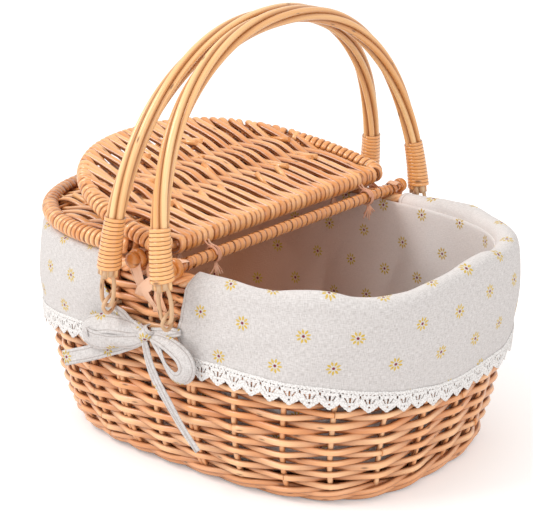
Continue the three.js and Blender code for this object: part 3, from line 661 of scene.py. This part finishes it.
# Lids: each is a hoop and a straight hinge stick with three ribs between them. The weavers
# run from stick to hoop over and under the ribs and turn round both, so the border is a row
# of wraps; binders fill it where the hoop runs along the weavers.
lid_axis = 195.696
lid_turn = -166.769
lid_edge = 7.8
lid_drop = -1.2
lid_reach = 193
lid_half_width = 156
lid_corner = 12
lid_power = 2.3
lid_rows = 39
border_inset = 8
border_core = 3.4
wrap_radius = 5.5
lid_willow = willow("varnished_willow_lids", "FAC084", "E09450", "8C4014", 0.28, 0.8)
stick_x = lid_edge + border_inset
corner_x = stick_x + lid_corner
corner_y = lid_half_width - border_inset - lid_corner
bow_reach = lid_reach - corner_x - border_inset
bow_half_width = lid_half_width - border_inset
bow_flat = outline(np.linspace(-math.pi / 2, math.pi / 2, 3001), bow_reach, bow_half_width,
                   lid_power)
corner_steps = 200
bend_angle = np.linspace(0, math.pi / 2, corner_steps, endpoint=False)
bend_flat = np.stack([-lid_corner * np.cos(bend_angle),
                      corner_y + lid_corner * np.sin(bend_angle)], axis=-1)
hoop_flat = np.concatenate([bend_flat * (1, -1), np.maximum(bow_flat, (0, -999)), bend_flat[::-1]])
hoop_line = points_at(corner_x + hoop_flat[:, 0], hoop_flat[:, 1], lid_drop)
hoop_lengths = lengths_along(hoop_line)
hoop_length = hoop_lengths[-1]
rib_start = 24.1
rib_places = [rib_start + (lid_reach - 2 * border_inset - rib_start) * k / 4 for k in (1, 2, 3)]


def hoop(run):
    """Hoop's middle line, its outward way and its own way, at lengths along it."""
    along = way_along(hoop_line, hoop_lengths, run, 2.5)
    return along_line(hoop_line, hoop_lengths, run), np.cross(along, (0, 0, 1.0)), along


def bow_share(share):
    """How much of its reach the bow has left at a share of its reach the other way."""
    return (1 - share ** lid_power) ** (1 / lid_power)


def hoop_reach(y):
    """How far out the hoop's middle lies at a distance across the lid."""
    return corner_x + bow_reach * bow_share(np.clip(np.abs(y) / bow_half_width, 0, 1))


def border_wrap(place, out, along, turn):
    """Wrap round the border: its line and the ways it faces, at turns from below the border,
    outwards and over its top."""
    way = out * np.sin(turn)[:, None] - points_at(0, 0, np.cos(turn))
    return place + way * wrap_radius, way, along


def lid_rods():
    """Weavers, ribs, core and cut ends of a lid that is laid out from its hinge along +X."""
    woven = []
    stick = points_at(stick_x, np.linspace(-corner_y, corner_y, 20), lid_drop)
    # Painted shade: the core and the ribs lie under the weavers and are painted deep in shade.
    frame_rods = [rod(hoop(np.linspace(0, hoop_length, 120))[0], border_core, 0.8),
                  rod(stick, border_core, 0.8)]
    for x in rib_places:
        reach = bow_half_width * bow_share((x - corner_x) / bow_reach)
        frame_rods.append(rod(points_at(x, np.linspace(-reach, reach, 30), lid_drop), 1.3, 0.5))
    widths = np.array([random.uniform(5.6, 8.6) for _ in range(lid_rows)])
    widths *= 2 * (corner_y - 1) / widths.sum()
    lines = -corner_y + 1 + np.cumsum(widths) - widths / 2
    wrapped = []
    wrap_steps = 15
    for row, (y, width) in enumerate(zip(lines, widths)):
        half = 0.56 * width
        reached = np.interp(y, hoop_line[corner_steps:-corner_steps, 1],
                            hoop_lengths[corner_steps:-corner_steps])
        wrapped.append(reached)
        turn = np.radians(np.linspace(250, 12, wrap_steps))
        advance = 0.8 * width * (np.degrees(turn) - 12) / 360
        start, start_face, _ = border_wrap(points_at(stick_x, y - advance, lid_drop),
                                           np.array([-1.0, 0, 0]), None, turn)
        crossings = [x for x in rib_places if x < hoop_reach(y) - 12]
        jog = [random.uniform(-0.8, 0.8) for _ in crossings]
        middle = [(x, y + jog[number], lid_drop + (-3.5 if (number + row) % 2 else 3.5))
                  for number, x in enumerate(crossings)]
        turn = np.radians(np.linspace(12, 255, wrap_steps))
        place, out, along = hoop(reached + 0.8 * width * (np.degrees(turn) - 12) / 360)
        finish, finish_face, finish_along = border_wrap(place, out, along, turn)
        line = smooth_line([*start[-1:], *middle, *finish[:1]], 10 + 9 * len(middle))[1:-1]
        path = np.concatenate([start, line, finish])
        face = np.concatenate([start_face, np.broadcast_to((0, 0, -1.0), line.shape), finish_face])
        beside = np.concatenate([np.broadcast_to((0, 1.0, 0), (wrap_steps + len(line), 3)),
                                 finish_along])
        # Painted shade: each wrap is darker where it turns in under the border, and a weaver a
        # little darker where it lies flat between the ribs.
        painted_shade = np.linspace(0.6, 0, wrap_steps)
        deep = np.concatenate([painted_shade, 0.15 - 0.05 * np.abs(line[:, 2] - lid_drop), painted_shade[::-1]])
        narrow, swell = np.full(12, 0.86), np.linspace(0.86, 1, 3)
        girth = half * np.concatenate([narrow, swell, np.ones(len(line)), swell[::-1], narrow])
        thin = np.full(12, 2.3)
        girth_flat = np.concatenate([thin, np.full(len(line) + 6, 2.9), thin])
        woven.append(rod(path, girth, np.clip(deep, 0, 1), face=face, flat=girth_flat, oval=True,
                         beside=beside))
    borders = [0.0, *wrapped, hoop_length]
    for low, high in zip(borders[:-1], borders[1:]):
        extra = max(int(round((high - low) / 6.2)) - 1, 0)
        step = (high - low) / (extra + 1)
        for k in range(1, extra + 1):
            turn = np.radians(np.linspace(-80, 275, 20))
            run = np.clip(low + step * k + 5.2 * np.degrees(turn) / 360, 0, hoop_length)
            ring, ring_face, ring_along = border_wrap(*hoop(run), turn)
            woven.append(rod(ring, step * 0.48, face=ring_face, flat=2.2, oval=True,
                             beside=ring_along))
    for _ in range(30):
        row = random.randrange(3, lid_rows - 3)
        x = random.choice(rib_places)
        y = lines[row] + widths[row] / 2
        way = random.choice((-1, 1))
        side = random.choice((-1, 1))
        woven.append(rod([(x - way * 20, y, lid_drop - side),
                          (x - way * 8, y, lid_drop + side * 3.4),
                          (x + way * 2, y + 0.8, lid_drop + side * 6.8)], 2.5))
    return woven, frame_rods


for side, spin, turn in (("left", -1, 0), ("right", 1, lid_turn)):
    woven, frame_rods = lid_rods()
    for item in woven + frame_rods:
        for key, pivot in (("points", (bar_places[side], 0, lid_axis)), ("beside", (0, 0, 0)),
                           ("face", (0, 0, 0))):
            if item[key] is not None:
                item[key] = lean(item[key] * np.array([spin, spin, 1]), turn, pivot)
    body = f"lid_{side}"
    rod_piece(f"lid_{side}_weavers", woven, lid_willow, body, sides=10,
              replaces=[f"lid_{side}_weave", f"lid_{side}_hoop", f"lid_{side}_hinge_stick"])
    rod_piece(f"lid_{side}_frame", frame_rods, lid_willow, body,
              replaces=[f"lid_{side}_rib_{k}" for k in (1, 2, 3)])

# Twine ties: soft paper twine wound twice round each bar, with a frayed tuft below and two
# strands up into the lid's hinge border, which turn with the lid from its hinge line.
twine_fibre = willow("twisted_paper_twine", "F0C4A8", "D49A7C", "9A5C40", 0.85, 0.0)
strand_lines = {"left": [(-24.5, 196.8), (-29, 195)], "right": [(15.6, 196.5), (12.5, 199.5)]}
for side, x in bar_places.items():
    for end, sign in ends.items():
        y = 106 * sign
        turn = np.linspace(0.2, 0.2 + 2 * math.pi * 2.4, 60)
        middle = points_at(x, y - 2.4 + turn / 15.1 * 4.8, bar_height)
        lines = [rod(middle + points_at(np.cos(turn), 0, np.sin(turn)) * 6.5, 0.95, 0.05)]
        strands = []
        for shift in (-1.3, 1.2):
            (bend_x, bend_z), (end_x, end_z) = strand_lines[side]
            strand = [(x, y + shift, lid_axis), (bend_x, y + shift * 1.4, bend_z),
                      (end_x, y + shift * 1.8, end_z)]
            strands.append(rod(smooth_line(strand, 14), 0.85, 0.1))
        rod_piece(f"lid_tie_strands_{side}_{end}", strands, twine_fibre, f"lid_{side}", sides=6)
        for k in range(9):
            spread = (k - 4) * 1.9 + random.uniform(-0.8, 0.8)
            drop = random.uniform(9, 14) - abs(k - 4) * 0.8
            tuft = [(x + 2 + random.uniform(-1, 1), y, bar_height - 6.2),
                    (x + 3, y + spread * 0.45, bar_height - 7 - drop * 0.4),
                    (x + 3 + random.uniform(-2, 2), y + spread, bar_height - 7 - drop)]
            lines.append(rod(smooth_line(tuft, 10), np.linspace(0.8, 0.5, 10), 0.1))
        rod_piece(f"lid_tie_{side}_{end}", lines, twine_fibre, "basket", sides=6,
                  replaces=[f"hinge_tie_{side}_{end}"])

# Liner bag: plain-woven linen sewn to the bowl's shape, with soft wrinkles. The print is a
# scatter of small daisies with mustard petals and a dark red eye.
def cloth_piece(name, grid, run, material, edge=20, closed=False, inside=0.0):
    """A sheet as a grid of points in millimetres, with its UV map in metres of cloth and, in
    a colour attribute, how far each point is from a stitched edge in millimetres over 20, how
    much painted warm willow-coloured shade it gets inside the basket, more towards -X, and how
    much painted light lifts its tone inside the basket."""
    rows, columns = grid.shape[:2]
    i, j = np.meshgrid(np.arange(rows - 1), np.arange(columns if closed else columns - 1),
                       indexing="ij")
    k = (j + 1) % columns
    faces = np.stack([i * columns + j, i * columns + k, (i + 1) * columns + k,
                      (i + 1) * columns + j], axis=-1)
    corners = np.stack([run[i, j], run[i, j + 1], run[i + 1, j + 1], run[i + 1, j]], axis=-2)
    colours = np.ones((rows, columns, 4))
    colours[..., 0] = np.clip(edge / 20, 0, 1)
    # Painted light: inside the basket green gives a painted warm shade, stronger towards -X, and
    # blue a painted lighter tone.
    colours[..., 1] = inside * np.clip(0.06 + (60 - grid[..., 0]) / 210, 0, 1)
    colours[..., 2] = inside * 0.62
    return new_piece(name, grid, faces.reshape(-1, 4).tolist(), "cloth_run", corners * MM,
                     "edge_and_painted_light", colours, material, "basket")


def select_only(piece):
    bpy.ops.object.select_all(action="DESELECT")
    bpy.context.view_layer.objects.active = piece
    piece.select_set(True)


def thicken(piece, thickness):
    """Gives a sheet its thickness and tells the area of one of its sides in square metres."""
    select_only(piece)
    wall = piece.modifiers.new("cloth", "SOLIDIFY")
    wall.thickness = thickness * MM
    wall.offset = 0
    bpy.ops.object.modifier_apply(modifier=wall.name)
    return 0.5 * sum(face.area for face in piece.data.polygons)


linen, tree = new_tree("printed_linen")
run = add(tree, "UVMap", uv_map="cloth_run")
run_parts = add(tree, "SeparateXYZ", {0: run}).node.outputs
# Daisies stand 46 mm apart in rows 31 mm apart, each shifted and turned at random.
daisy_gap, row_gap = 0.046, 0.031
row_place = add(tree, "Math", {0: run_parts[1], 1: row_gap}, operation="DIVIDE")
row_number = add(tree, "Math", {0: row_place}, operation="FLOOR")
row_shift = add(tree, "Math", {0: row_number, 1: 0.5}, operation="MULTIPLY")
daisy_place = add(tree, "Math", {0: run_parts[0], 1: 1 / daisy_gap, 2: row_shift},
                  operation="MULTIPLY_ADD")
daisy_number = add(tree, "Math", {0: daisy_place}, operation="FLOOR")
daisy = add(tree, "CombineXYZ", {0: daisy_number, 1: row_number})
chance = add(tree, "TexWhiteNoise", {"Vector": daisy}, noise_dimensions="3D")
chances = add(tree, "SeparateColor", {0: chance.node.outputs["Color"]}).node.outputs
from_middle = []
for place, luck, gap in ((daisy_place, chances[0], daisy_gap), (row_place, chances[1], row_gap)):
    middle = add(tree, "Math", {0: luck, 1: 0.22, 2: 0.39}, operation="MULTIPLY_ADD")
    local = add(tree, "Math", {0: place}, operation="FRACT")
    away = add(tree, "Math", {0: local, 1: middle}, operation="SUBTRACT")
    from_middle.append(add(tree, "Math", {0: away, 1: gap / MM}, operation="MULTIPLY"))
petal_place = add(tree, "CombineXYZ", {0: from_middle[0], 1: from_middle[1]})
petal_reach = add(tree, "VectorMath", {0: petal_place}, operation="LENGTH")
petal_turn = add(tree, "Math", {0: from_middle[1], 1: from_middle[0]}, operation="ARCTAN2")
petal_spin = add(tree, "Math", {0: petal_turn, 1: 9 / (2 * math.pi), 2: chances[2]},
                 operation="MULTIPLY_ADD")
petal_fract = add(tree, "Math", {0: petal_spin}, operation="FRACT")
petal_mid = add(tree, "Math", {0: petal_fract, 1: 0.5}, operation="SUBTRACT")
petal_away = add(tree, "Math", {0: petal_mid}, operation="ABSOLUTE")
petal_side = add(tree, "Math", {0: petal_away, 1: petal_reach}, operation="MULTIPLY")
petal_along = add(tree, "MapRange", {"Value": petal_reach, "From Min": 1.9, "From Max": 6.4,
                                     "To Max": math.pi})
petal_bow = add(tree, "Math", {0: petal_along}, operation="SINE")
petal_half = add(tree, "Math", {0: petal_bow, 1: 1.5}, operation="MULTIPLY")
petal_edge = add(tree, "Math", {0: petal_half, 1: petal_side}, operation="SUBTRACT")
petal_mask = add(tree, "MapRange", {"Value": petal_edge, "From Min": -0.05, "From Max": 0.25})
fade = add(tree, "TexNoise", {"Vector": run, "Scale": 420.0, "Detail": 2})
fade_some = add(tree, "MapRange", {"Value": fade, "From Min": 0.3, "From Max": 0.6,
                                   "To Min": 0.75})
petal_print = add(tree, "Math", {0: petal_mask, 1: fade_some}, operation="MULTIPLY")
eye_print = add(tree, "MapRange", {"Value": petal_reach, "From Min": 0.95, "From Max": 1.5,
                                   "To Min": 1.0, "To Max": 0.0})
# The weave is two sets of streaks, each 0.7 mm wide and 4 mm long, that cross each other.
threads = []
for scale in ((240, 1500, 1), (1500, 240, 1)):
    thread_run = add(tree, "Mapping", {"Vector": run, "Scale": scale})
    threads.append(add(tree, "TexNoise", {"Vector": thread_run, "Scale": 1.0, "Detail": 1}))
weave = add(tree, "Math", {0: threads[0], 1: threads[1]}, operation="ADD")
thread_tone = add(tree, "MapRange", {"Value": weave, "From Min": 0.7, "From Max": 1.25})
edge_and_light = add(tree, "Attribute", attribute_name="edge_and_painted_light")
edge_light_parts = add(tree, "SeparateColor", {"Color": edge_and_light}).node.outputs
cloth_tone = linear("B9B4B2")
# Painted light: blue lifts cloth inside the basket to a painted lighter tone, and green gives it a
# painted warm willow-coloured shade.
for share, colour in ((thread_tone, "D6D2D1"), (edge_light_parts[2], "F6F0EE"),
                      (edge_light_parts[1], "D8A484"), (petal_print, "C9A93A"), (eye_print, "7C2438")):
    cloth_tone = add(tree, "Mix", {0: share, 6: cloth_tone, 7: linear(colour)}, data_type="RGBA")
stitch_off = add(tree, "Math", {0: edge_light_parts[0], 1: 0.13}, operation="SUBTRACT")
stitch_far = add(tree, "Math", {0: stitch_off}, operation="ABSOLUTE")
stitch_line = add(tree, "MapRange", {"Value": stitch_far, "From Max": 0.035, "To Min": 1.0,
                                     "To Max": 0.0})
stitched = add(tree, "Mix", {0: stitch_line, 6: cloth_tone, 7: linear("DAD4D1")},
               data_type="RGBA", blend_type="MULTIPLY")
stitch_dip = add(tree, "Math", {0: stitch_line, 1: -0.9, 2: weave}, operation="MULTIPLY_ADD")
cloth_bump = add(tree, "Bump", {"Height": stitch_dip, "Strength": 0.5, "Distance": 0.0007})
cloth_finish = add(tree, "BsdfPrincipled", {
    "Base Color": stitched, "Roughness": 0.95, "Specular IOR Level": 0.2, "Sheen Weight": 0.15,
    "Sheen Roughness": 0.6, "Normal": cloth_bump})
add(tree, "OutputMaterial", {"Surface": cloth_finish})

bag_steps = 360
bag_floor = 12.2
bag_shares = np.linspace(0, 1, bag_steps + 1)
bag_depth = [(179, -15.6), (172, -16.0), (150, -15.2), (125, -13.8), (100, -12.8), (75, -12.8),
             (50, -13.0), (32, -14.0), (20, -18.0), (13.2, -27.0), (bag_floor, -40.0)]
bag_profile = smooth_line(bag_depth, 70)
run = bag_shares * rim_length
bag_rows, bag_runs = [], []
for (z, offset), fall in zip(bag_profile, lengths_along(bag_profile)):
    deep = min(max((178 - z) / 90, 0), 1)
    wrinkle = deep * (2.2 * np.sin(run / 19 + 0.04 * z) * np.sin(run / 83 + 1)
                      + 1.8 * np.sin(run / 41 - 0.03 * z)
                      + 1.0 * np.sin(run / 11 + 0.07 * z) * np.sin(run / 57))
    swell = -np.abs(wrinkle) * min(1, max(0, (z - 11) / 12))
    bag_rows.append(bowl(bag_shares[:-1], z, offset + swell[:-1]))
    bag_runs.append(np.stack([run, np.full_like(run, 300 - fall)], axis=-1))
# The whole bag lies inside the basket, so all of it gets the painted warm shade and painted light.
liner_bag = cloth_piece("liner_bag_cloth", np.array(bag_rows), np.array(bag_runs), linen,
                        closed=True, inside=1.0)
select_only(liner_bag)
bpy.ops.object.mode_set(mode="EDIT")
bpy.ops.mesh.select_all(action="DESELECT")
bpy.ops.object.mode_set(mode="OBJECT")
for corner in liner_bag.data.vertices[-bag_steps:]:
    corner.select = True
bpy.ops.object.mode_set(mode="EDIT")
bpy.ops.mesh.select_mode(type="VERT")
for widen in (0.8, 0.75, 0.66, 0.5, 0.02):
    bpy.ops.mesh.extrude_region_move()
    bpy.ops.transform.resize(value=(widen, widen, 1), center_override=(0, 0, bag_floor * MM))
bpy.ops.object.mode_set(mode="OBJECT")
floor_map = liner_bag.data.uv_layers["cloth_run"]
for face in liner_bag.data.polygons:
    if all(liner_bag.data.vertices[v].co.z < (bag_floor + 0.2) * MM for v in face.vertices):
        for corner, vertex in zip(face.loop_indices, face.vertices):
            floor_map.data[corner].uv = liner_bag.data.vertices[vertex].co.xy
bag_area = thicken(liner_bag, 1.0)
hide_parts("liner_bag")

# Skirts: the liner's two halves folded out over the rim. They hang in soft folds to a sewn
# hem and leave a notch for the bars at the middle of each long side.
def hem_height(share, middle):
    across = np.cos((share - middle) * math.pi / 0.5)
    return 117.5 - 22 * np.clip(across, 0, 1) ** 4


def skirt_fold(run, down):
    """How far the skirt stands off the wall, at a length round the rim and a share down it."""
    wide = (1.7 * np.sin(run / 37 + 0.6) + 1.3 * np.sin(run / 23.5 + 2.1 + down)
            + 0.8 * np.sin(run / 12.7 + 3 * down))
    fine = 0.5 * np.sin(run / 6.1 + 5 * down) * np.sin(run / 49)
    bulge = 0.75 + 0.25 * np.sin(run / 61 + 1)
    belly = 2.4 * np.sin(math.pi * np.clip(down * 1.15, 0, 1)) * bulge
    crease = 0.7 * np.sin(run / 17 + 9 * down) * np.sin(run / 71 + 2) * np.sin(math.pi * down)
    crown = 0.5 * np.sin(run / 29 + 4) * (1 - down)
    return (2.0 + wide * 0.85 + fine) * down ** 1.3 + belly + crease + crown


# How far the skirt's two ends lie from their straight line at each height, in millimetres
edge_heights = [120, 130, 137, 142, 150, 157, 165, 175, 182, 190]
first_edge = [0, -1, -4.5, -1.5, 1.5, 3, 5, 6, 10, 15]
last_edges = {"left": [7.5, 7.5, 7, 5, -1, -6, -10, -13, -14, -14],
              "right": [7.5, 7.5, 7, 6, 6, 7, 8, 10, 11, 11]}


def slid(side, shares, z):
    """Shares of a skirt's row, slid along the rim where its two ends aren't straight."""
    run = shares * rim_length
    first_way = np.interp(z, edge_heights, first_edge) * np.exp(-(run - run[0]) / 26)
    last_way = np.interp(z, edge_heights, last_edges[side]) * np.exp(-(run[-1] - run) / 26)
    return shares + (first_way + last_way) / rim_length


# First and last share of the way round and middle of each skirt, and its crown's radius
skirts = {"right": (-0.2275, 0.2105, 0.0, 8.6), "left": (0.2725, 0.7105, 0.5, 7.7)}
for side, (first, last, middle, crown_radius) in skirts.items():
    columns = 280
    shares = np.linspace(first, last, columns)
    run = shares * rim_length
    hem = hem_height(shares, middle)
    rows, runs = [], []
    dip = rim_dip(shares)
    for z in range(150, 178, 4):
        tuck = 2.9 * max(0, (174 - z) / 24)
        row = bowl(slid(side, shares, 186), z, tuck - rim_radius - crown_radius)
        row[:, 2] -= dip * (z - 150) / 28
        rows.append(row)
        runs.append(np.full(columns, z - rim_height))
    for k in range(13):
        angle = math.pi * (1 - k / 12)
        puff = (1.3 * np.sin(run / 26 + 1) + 0.9 * np.sin(run / 14)
                + 0.6 * np.sin(run / 8.3 + 2 * angle) * np.sin(run / 47))
        rise = 0.3 + 1.1 * puff + np.abs(puff) * 0.5 - 0.1 * dip
        lift = crown_radius + rise * math.sin(angle) ** 2
        if side == "left":
            lift = np.minimum(lift, crown_radius + 0.2)
        row = bowl(slid(side, shares, 178 + 10 * math.sin(angle)), wall_top,
                   -rim_radius + lift * math.cos(angle))
        row[:, 2] = rim_height - dip + lift * math.sin(angle)
        rows.append(row)
        runs.append(np.full(columns, crown_radius * (math.pi - angle)))
    base_run = crown_radius * math.pi
    for k in range(1, 31):
        down = k / 30
        z = rim_height - dip * (1 - down) ** 2 - (rim_height - hem) * down
        stand = crown_radius - rim_radius + skirt_fold(run, down)
        rows.append(bowl(slid(side, shares, z), z, stand))
        runs.append(base_run + (rim_height - hem) * down)
    grid = np.array(rows)
    spread = np.stack(np.broadcast_arrays(run, -np.array(runs)), axis=-1)
    # The skirt's inner leg gets the painted warm shade and painted light of the inside, fading out
    # over the crown.
    inside = np.concatenate([np.ones(8), np.linspace(1, 0, 9), np.zeros(len(grid) - 17)])
    skirt = cloth_piece(f"liner_skirt_{side}_cloth", grid, spread, linen,
                        edge=np.minimum(run - run[0], run[-1] - run), inside=inside[:, None])
    skirt_area = thicken(skirt, 1.1)
    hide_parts(f"liner_skirt_{side}")
    if side == "right":
        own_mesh(skirt)

# Lace: white cotton crochet sewn under each hem, 18 mm deep, with a point every 16 mm and a
# fan of small slits above each point.
cotton, tree = new_tree("white_crochet_cotton")
lace_run = add(tree, "UVMap", uv_map="cloth_run")
knots = add(tree, "TexVoronoi", {"Vector": lace_run, "Scale": 620.0}, voronoi_dimensions="2D")
# Painted shade: the cotton is darker away from each knot's middle, in the bump's hollows between
# knots.
knot_hollow_shade = add(tree, "MapRange", {"Value": knots, "From Min": 0.1, "From Max": 0.75})
cotton_tone = add(tree, "Mix", {0: knot_hollow_shade, 6: linear("F2F1F0"), 7: linear("D0CCCA")},
                  data_type="RGBA")
cotton_bump = add(tree, "Bump", {"Height": knots, "Strength": 0.7, "Distance": 0.0008},
                  invert=True)
cotton_finish = add(tree, "BsdfPrincipled", {
    "Base Color": cotton_tone, "Roughness": 0.9, "Specular IOR Level": 0.2,
    "Normal": cotton_bump})
add(tree, "OutputMaterial", {"Surface": cotton_finish})
lace_depth = 18.0
lace_repeat = 16.0
lace_steps = 20
lace_lines = 24


def lace_slit(t, d):
    """Whether a slit is cut at a distance beside a point's middle and a distance down."""
    fan = any(abs(t - centre - slant * (d - 8)) < 0.62 and abs(d - 8.2) < 2.1
              for centre, slant in ((-3.4, 0.55), (0.0, 0.0), (3.4, -0.55)))
    between = abs(abs(t) - 7.6) < 0.7 and abs(d - 5.2) < 1.2
    below = abs(t) < 0.75 and abs(d - 13.6) < 0.8
    seam = abs((t + 8) % 3.2 - 1.6) < 0.4 and abs(d - 3.0) < 0.45
    return bool(fan or between or below or seam)


for side, (first, last, middle, crown_radius) in skirts.items():
    long = (last - first) * rim_length
    columns = round(long / lace_repeat) * lace_steps
    shares = np.linspace(first, last, columns + 1)
    run = shares * rim_length
    beat = np.arange(columns + 1) % lace_steps / lace_steps
    point = 1 - np.abs(2 * beat - 1)
    foot = 11.8 + 6.2 * point ** 0.85 + 0.7 * np.abs(np.sin(beat * math.pi * 6))
    hem = hem_height(shares, middle)
    rows, runs = [], []
    for k in range(lace_lines + 1):
        down = k / lace_lines * foot
        z = hem + 2.2 - down
        ripple = 0.5 * np.sin(run / 4.3) * (down / lace_depth)
        stand = crown_radius - rim_radius + skirt_fold(run, 1.0) + 0.85 + 0.03 * down + ripple
        rows.append(bowl(slid(side, shares, z), z, stand))
        runs.append(np.stack([run, -down], axis=-1))
    lace = cloth_piece(f"lace_{side}_crochet", np.array(rows), np.array(runs), cotton)
    select_only(lace)
    bpy.ops.object.mode_set(mode="EDIT")
    bpy.ops.mesh.select_mode(type="FACE")
    bpy.ops.object.mode_set(mode="OBJECT")
    for face in lace.data.polygons:
        line, column = divmod(face.index, columns)
        t = ((column + 0.5) % lace_steps - lace_steps / 2) / lace_steps * lace_repeat
        face.select = lace_slit(t, (line + 0.5) / lace_lines * foot[column])
    bpy.ops.object.mode_set(mode="EDIT")
    bpy.ops.mesh.delete(type="FACE")
    bpy.ops.object.mode_set(mode="OBJECT")
    lace_area = thicken(lace, 0.9)
    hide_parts(f"lace_{side}")

# Bows: two linen ribbons sewn to the skirts' corners, tied below each notch in a bow with a
# stitched fold along both edges.
def ribbon(name, points, half, face, curl, print_line):
    """A ribbon along a line of points: its half widths, the ways it faces, how far its edges
    curl back and which line of the print runs along it. Gives its length and area too."""
    along = unit(np.gradient(points, axis=0))
    normal = unit(face - along * np.sum(face * along, axis=1)[:, None])
    side = np.cross(normal, along)
    t = np.linspace(-1, 1, 9)[None, :]
    wide = half[:, None] * t
    rumple = 0.5 * np.sin(np.arange(len(points)) / 5.0)[:, None] * np.cos(3 * t)
    grid = (points[:, None] + side[:, None] * wide[..., None]
            + normal[:, None] * (rumple - curl * t ** 2)[..., None])
    length = lengths_along(points)
    spread = np.stack(np.broadcast_arrays(length[:, None] + 7 * len(name), wide + print_line),
                      axis=-1)
    piece = cloth_piece(name, grid, spread, linen, edge=half[:, None] * (1 - np.abs(t)))
    return piece, length[-1] * MM, thicken(piece, 0.9)


bow_plane = 160.5
knot_middle = (-1, 4.6, 132.5)
knot_line = [(-1 - 3.6 * math.sin(k), 4.6 + 5.2 * math.cos(k), 132.5 + 3.6 * math.sin(k))
             for k in np.linspace(-2.1, 2.1, 9)]
# Each ribbon: its line as x, distance from the bow's plane and height; how many points it
# gets; its half width; the way it faces; how far its edges curl back; how much its end narrows;
# and which line of the print runs along it.
bow_parts = {
    "knot": [(knot_line, 30, 7.4, "knot", 1.6, 0, 15)],
    "ribbon_left": [
        ([(-3, 3, 131), (-18, 5, 133), (-36, 7.5, 133), (-54, 8.5, 129.5), (-66, 9.5, 123.5),
          (-66, 11, 118), (-54, 11, 115.5), (-38, 9, 117), (-20, 7, 121), (-4, 5.5, 127)],
         90, 9.0, "loop", 1.6, 0, 24),
        ([(-4, 2.5, 126), (-20, 2.2, 118.5), (-42, 2, 109.5), (-68, 2.4, 98), (-99, 3.4, 86)],
         60, 6.6, (0, -1, 0.1), 1.0, 0, 15),
        ([(-42, -1.5, 143), (-34, 0, 140.5), (-24, 2.5, 136.5), (-8, 4, 131)],
         30, 4.6, (0.1, -1, 0.35), 0.6, 0, 24),
    ],
    "ribbon_right": [
        ([(3, 5, 130), (13, 6.5, 120), (22, 7.5, 109), (32, 8.5, 102.5), (42, 9.2, 105.5),
          (46, 9, 114), (41, 8.5, 123), (28, 7.5, 129), (14, 6.5, 131.5), (4, 5.5, 131)],
         90, 7.0, "loop", 1.3, 0, 24),
        ([(-3, 6.5, 127), (3, 6.5, 107), (12, 4.5, 88), (24, 3, 70), (37, 2, 54), (49, 1.5, 41)],
         70, 5.0, (0.15, -1, 0), 1.0, 0.45, 24),
        ([(31, -1.0, 138.5), (24, 1, 137.5), (12, 3, 135), (4, 4.5, 133.5)],
         24, 4.4, (0, -1, 0.3), 0.5, 0, 24),
    ],
}


def bow_points(points, spin):
    return np.array([(x, -bow_plane - y, z) for x, y, z in points]) * spin


for end, sign in ends.items():
    spin = np.array([-sign, -sign, 1.0])
    for part, ribbons in bow_parts.items():
        made = []
        for number, (points, count, width, face, curl, narrow, print_line) in enumerate(ribbons):
            line = smooth_line(bow_points(points, spin), count)
            share = np.linspace(0, 1, count)
            if face == "loop":
                ways = 0.62 * unit(line - line.mean(axis=0)) + 0.85 * spin * (0, -1, 0.12)
                half = width * (0.42 + 0.58 * np.sin(math.pi * share) ** 0.5)
            elif face == "knot":
                ways = line - bow_points([knot_middle], spin)
                half = np.full(count, width)
            else:
                ways = np.broadcast_to(spin * face, line.shape)
                half = width * (0.55 + 0.45 * np.minimum(1, share * 3)) * (1 - narrow * share)
            made.append(ribbon(f"bow_{end}_{part}_{number + 1}", line, half, ways, curl,
                               print_line))
        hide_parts(f"bow_{end}_{part}")
        for piece, length, area in made:
            width = max(0.0101, area / length)
            min(area, width * length)
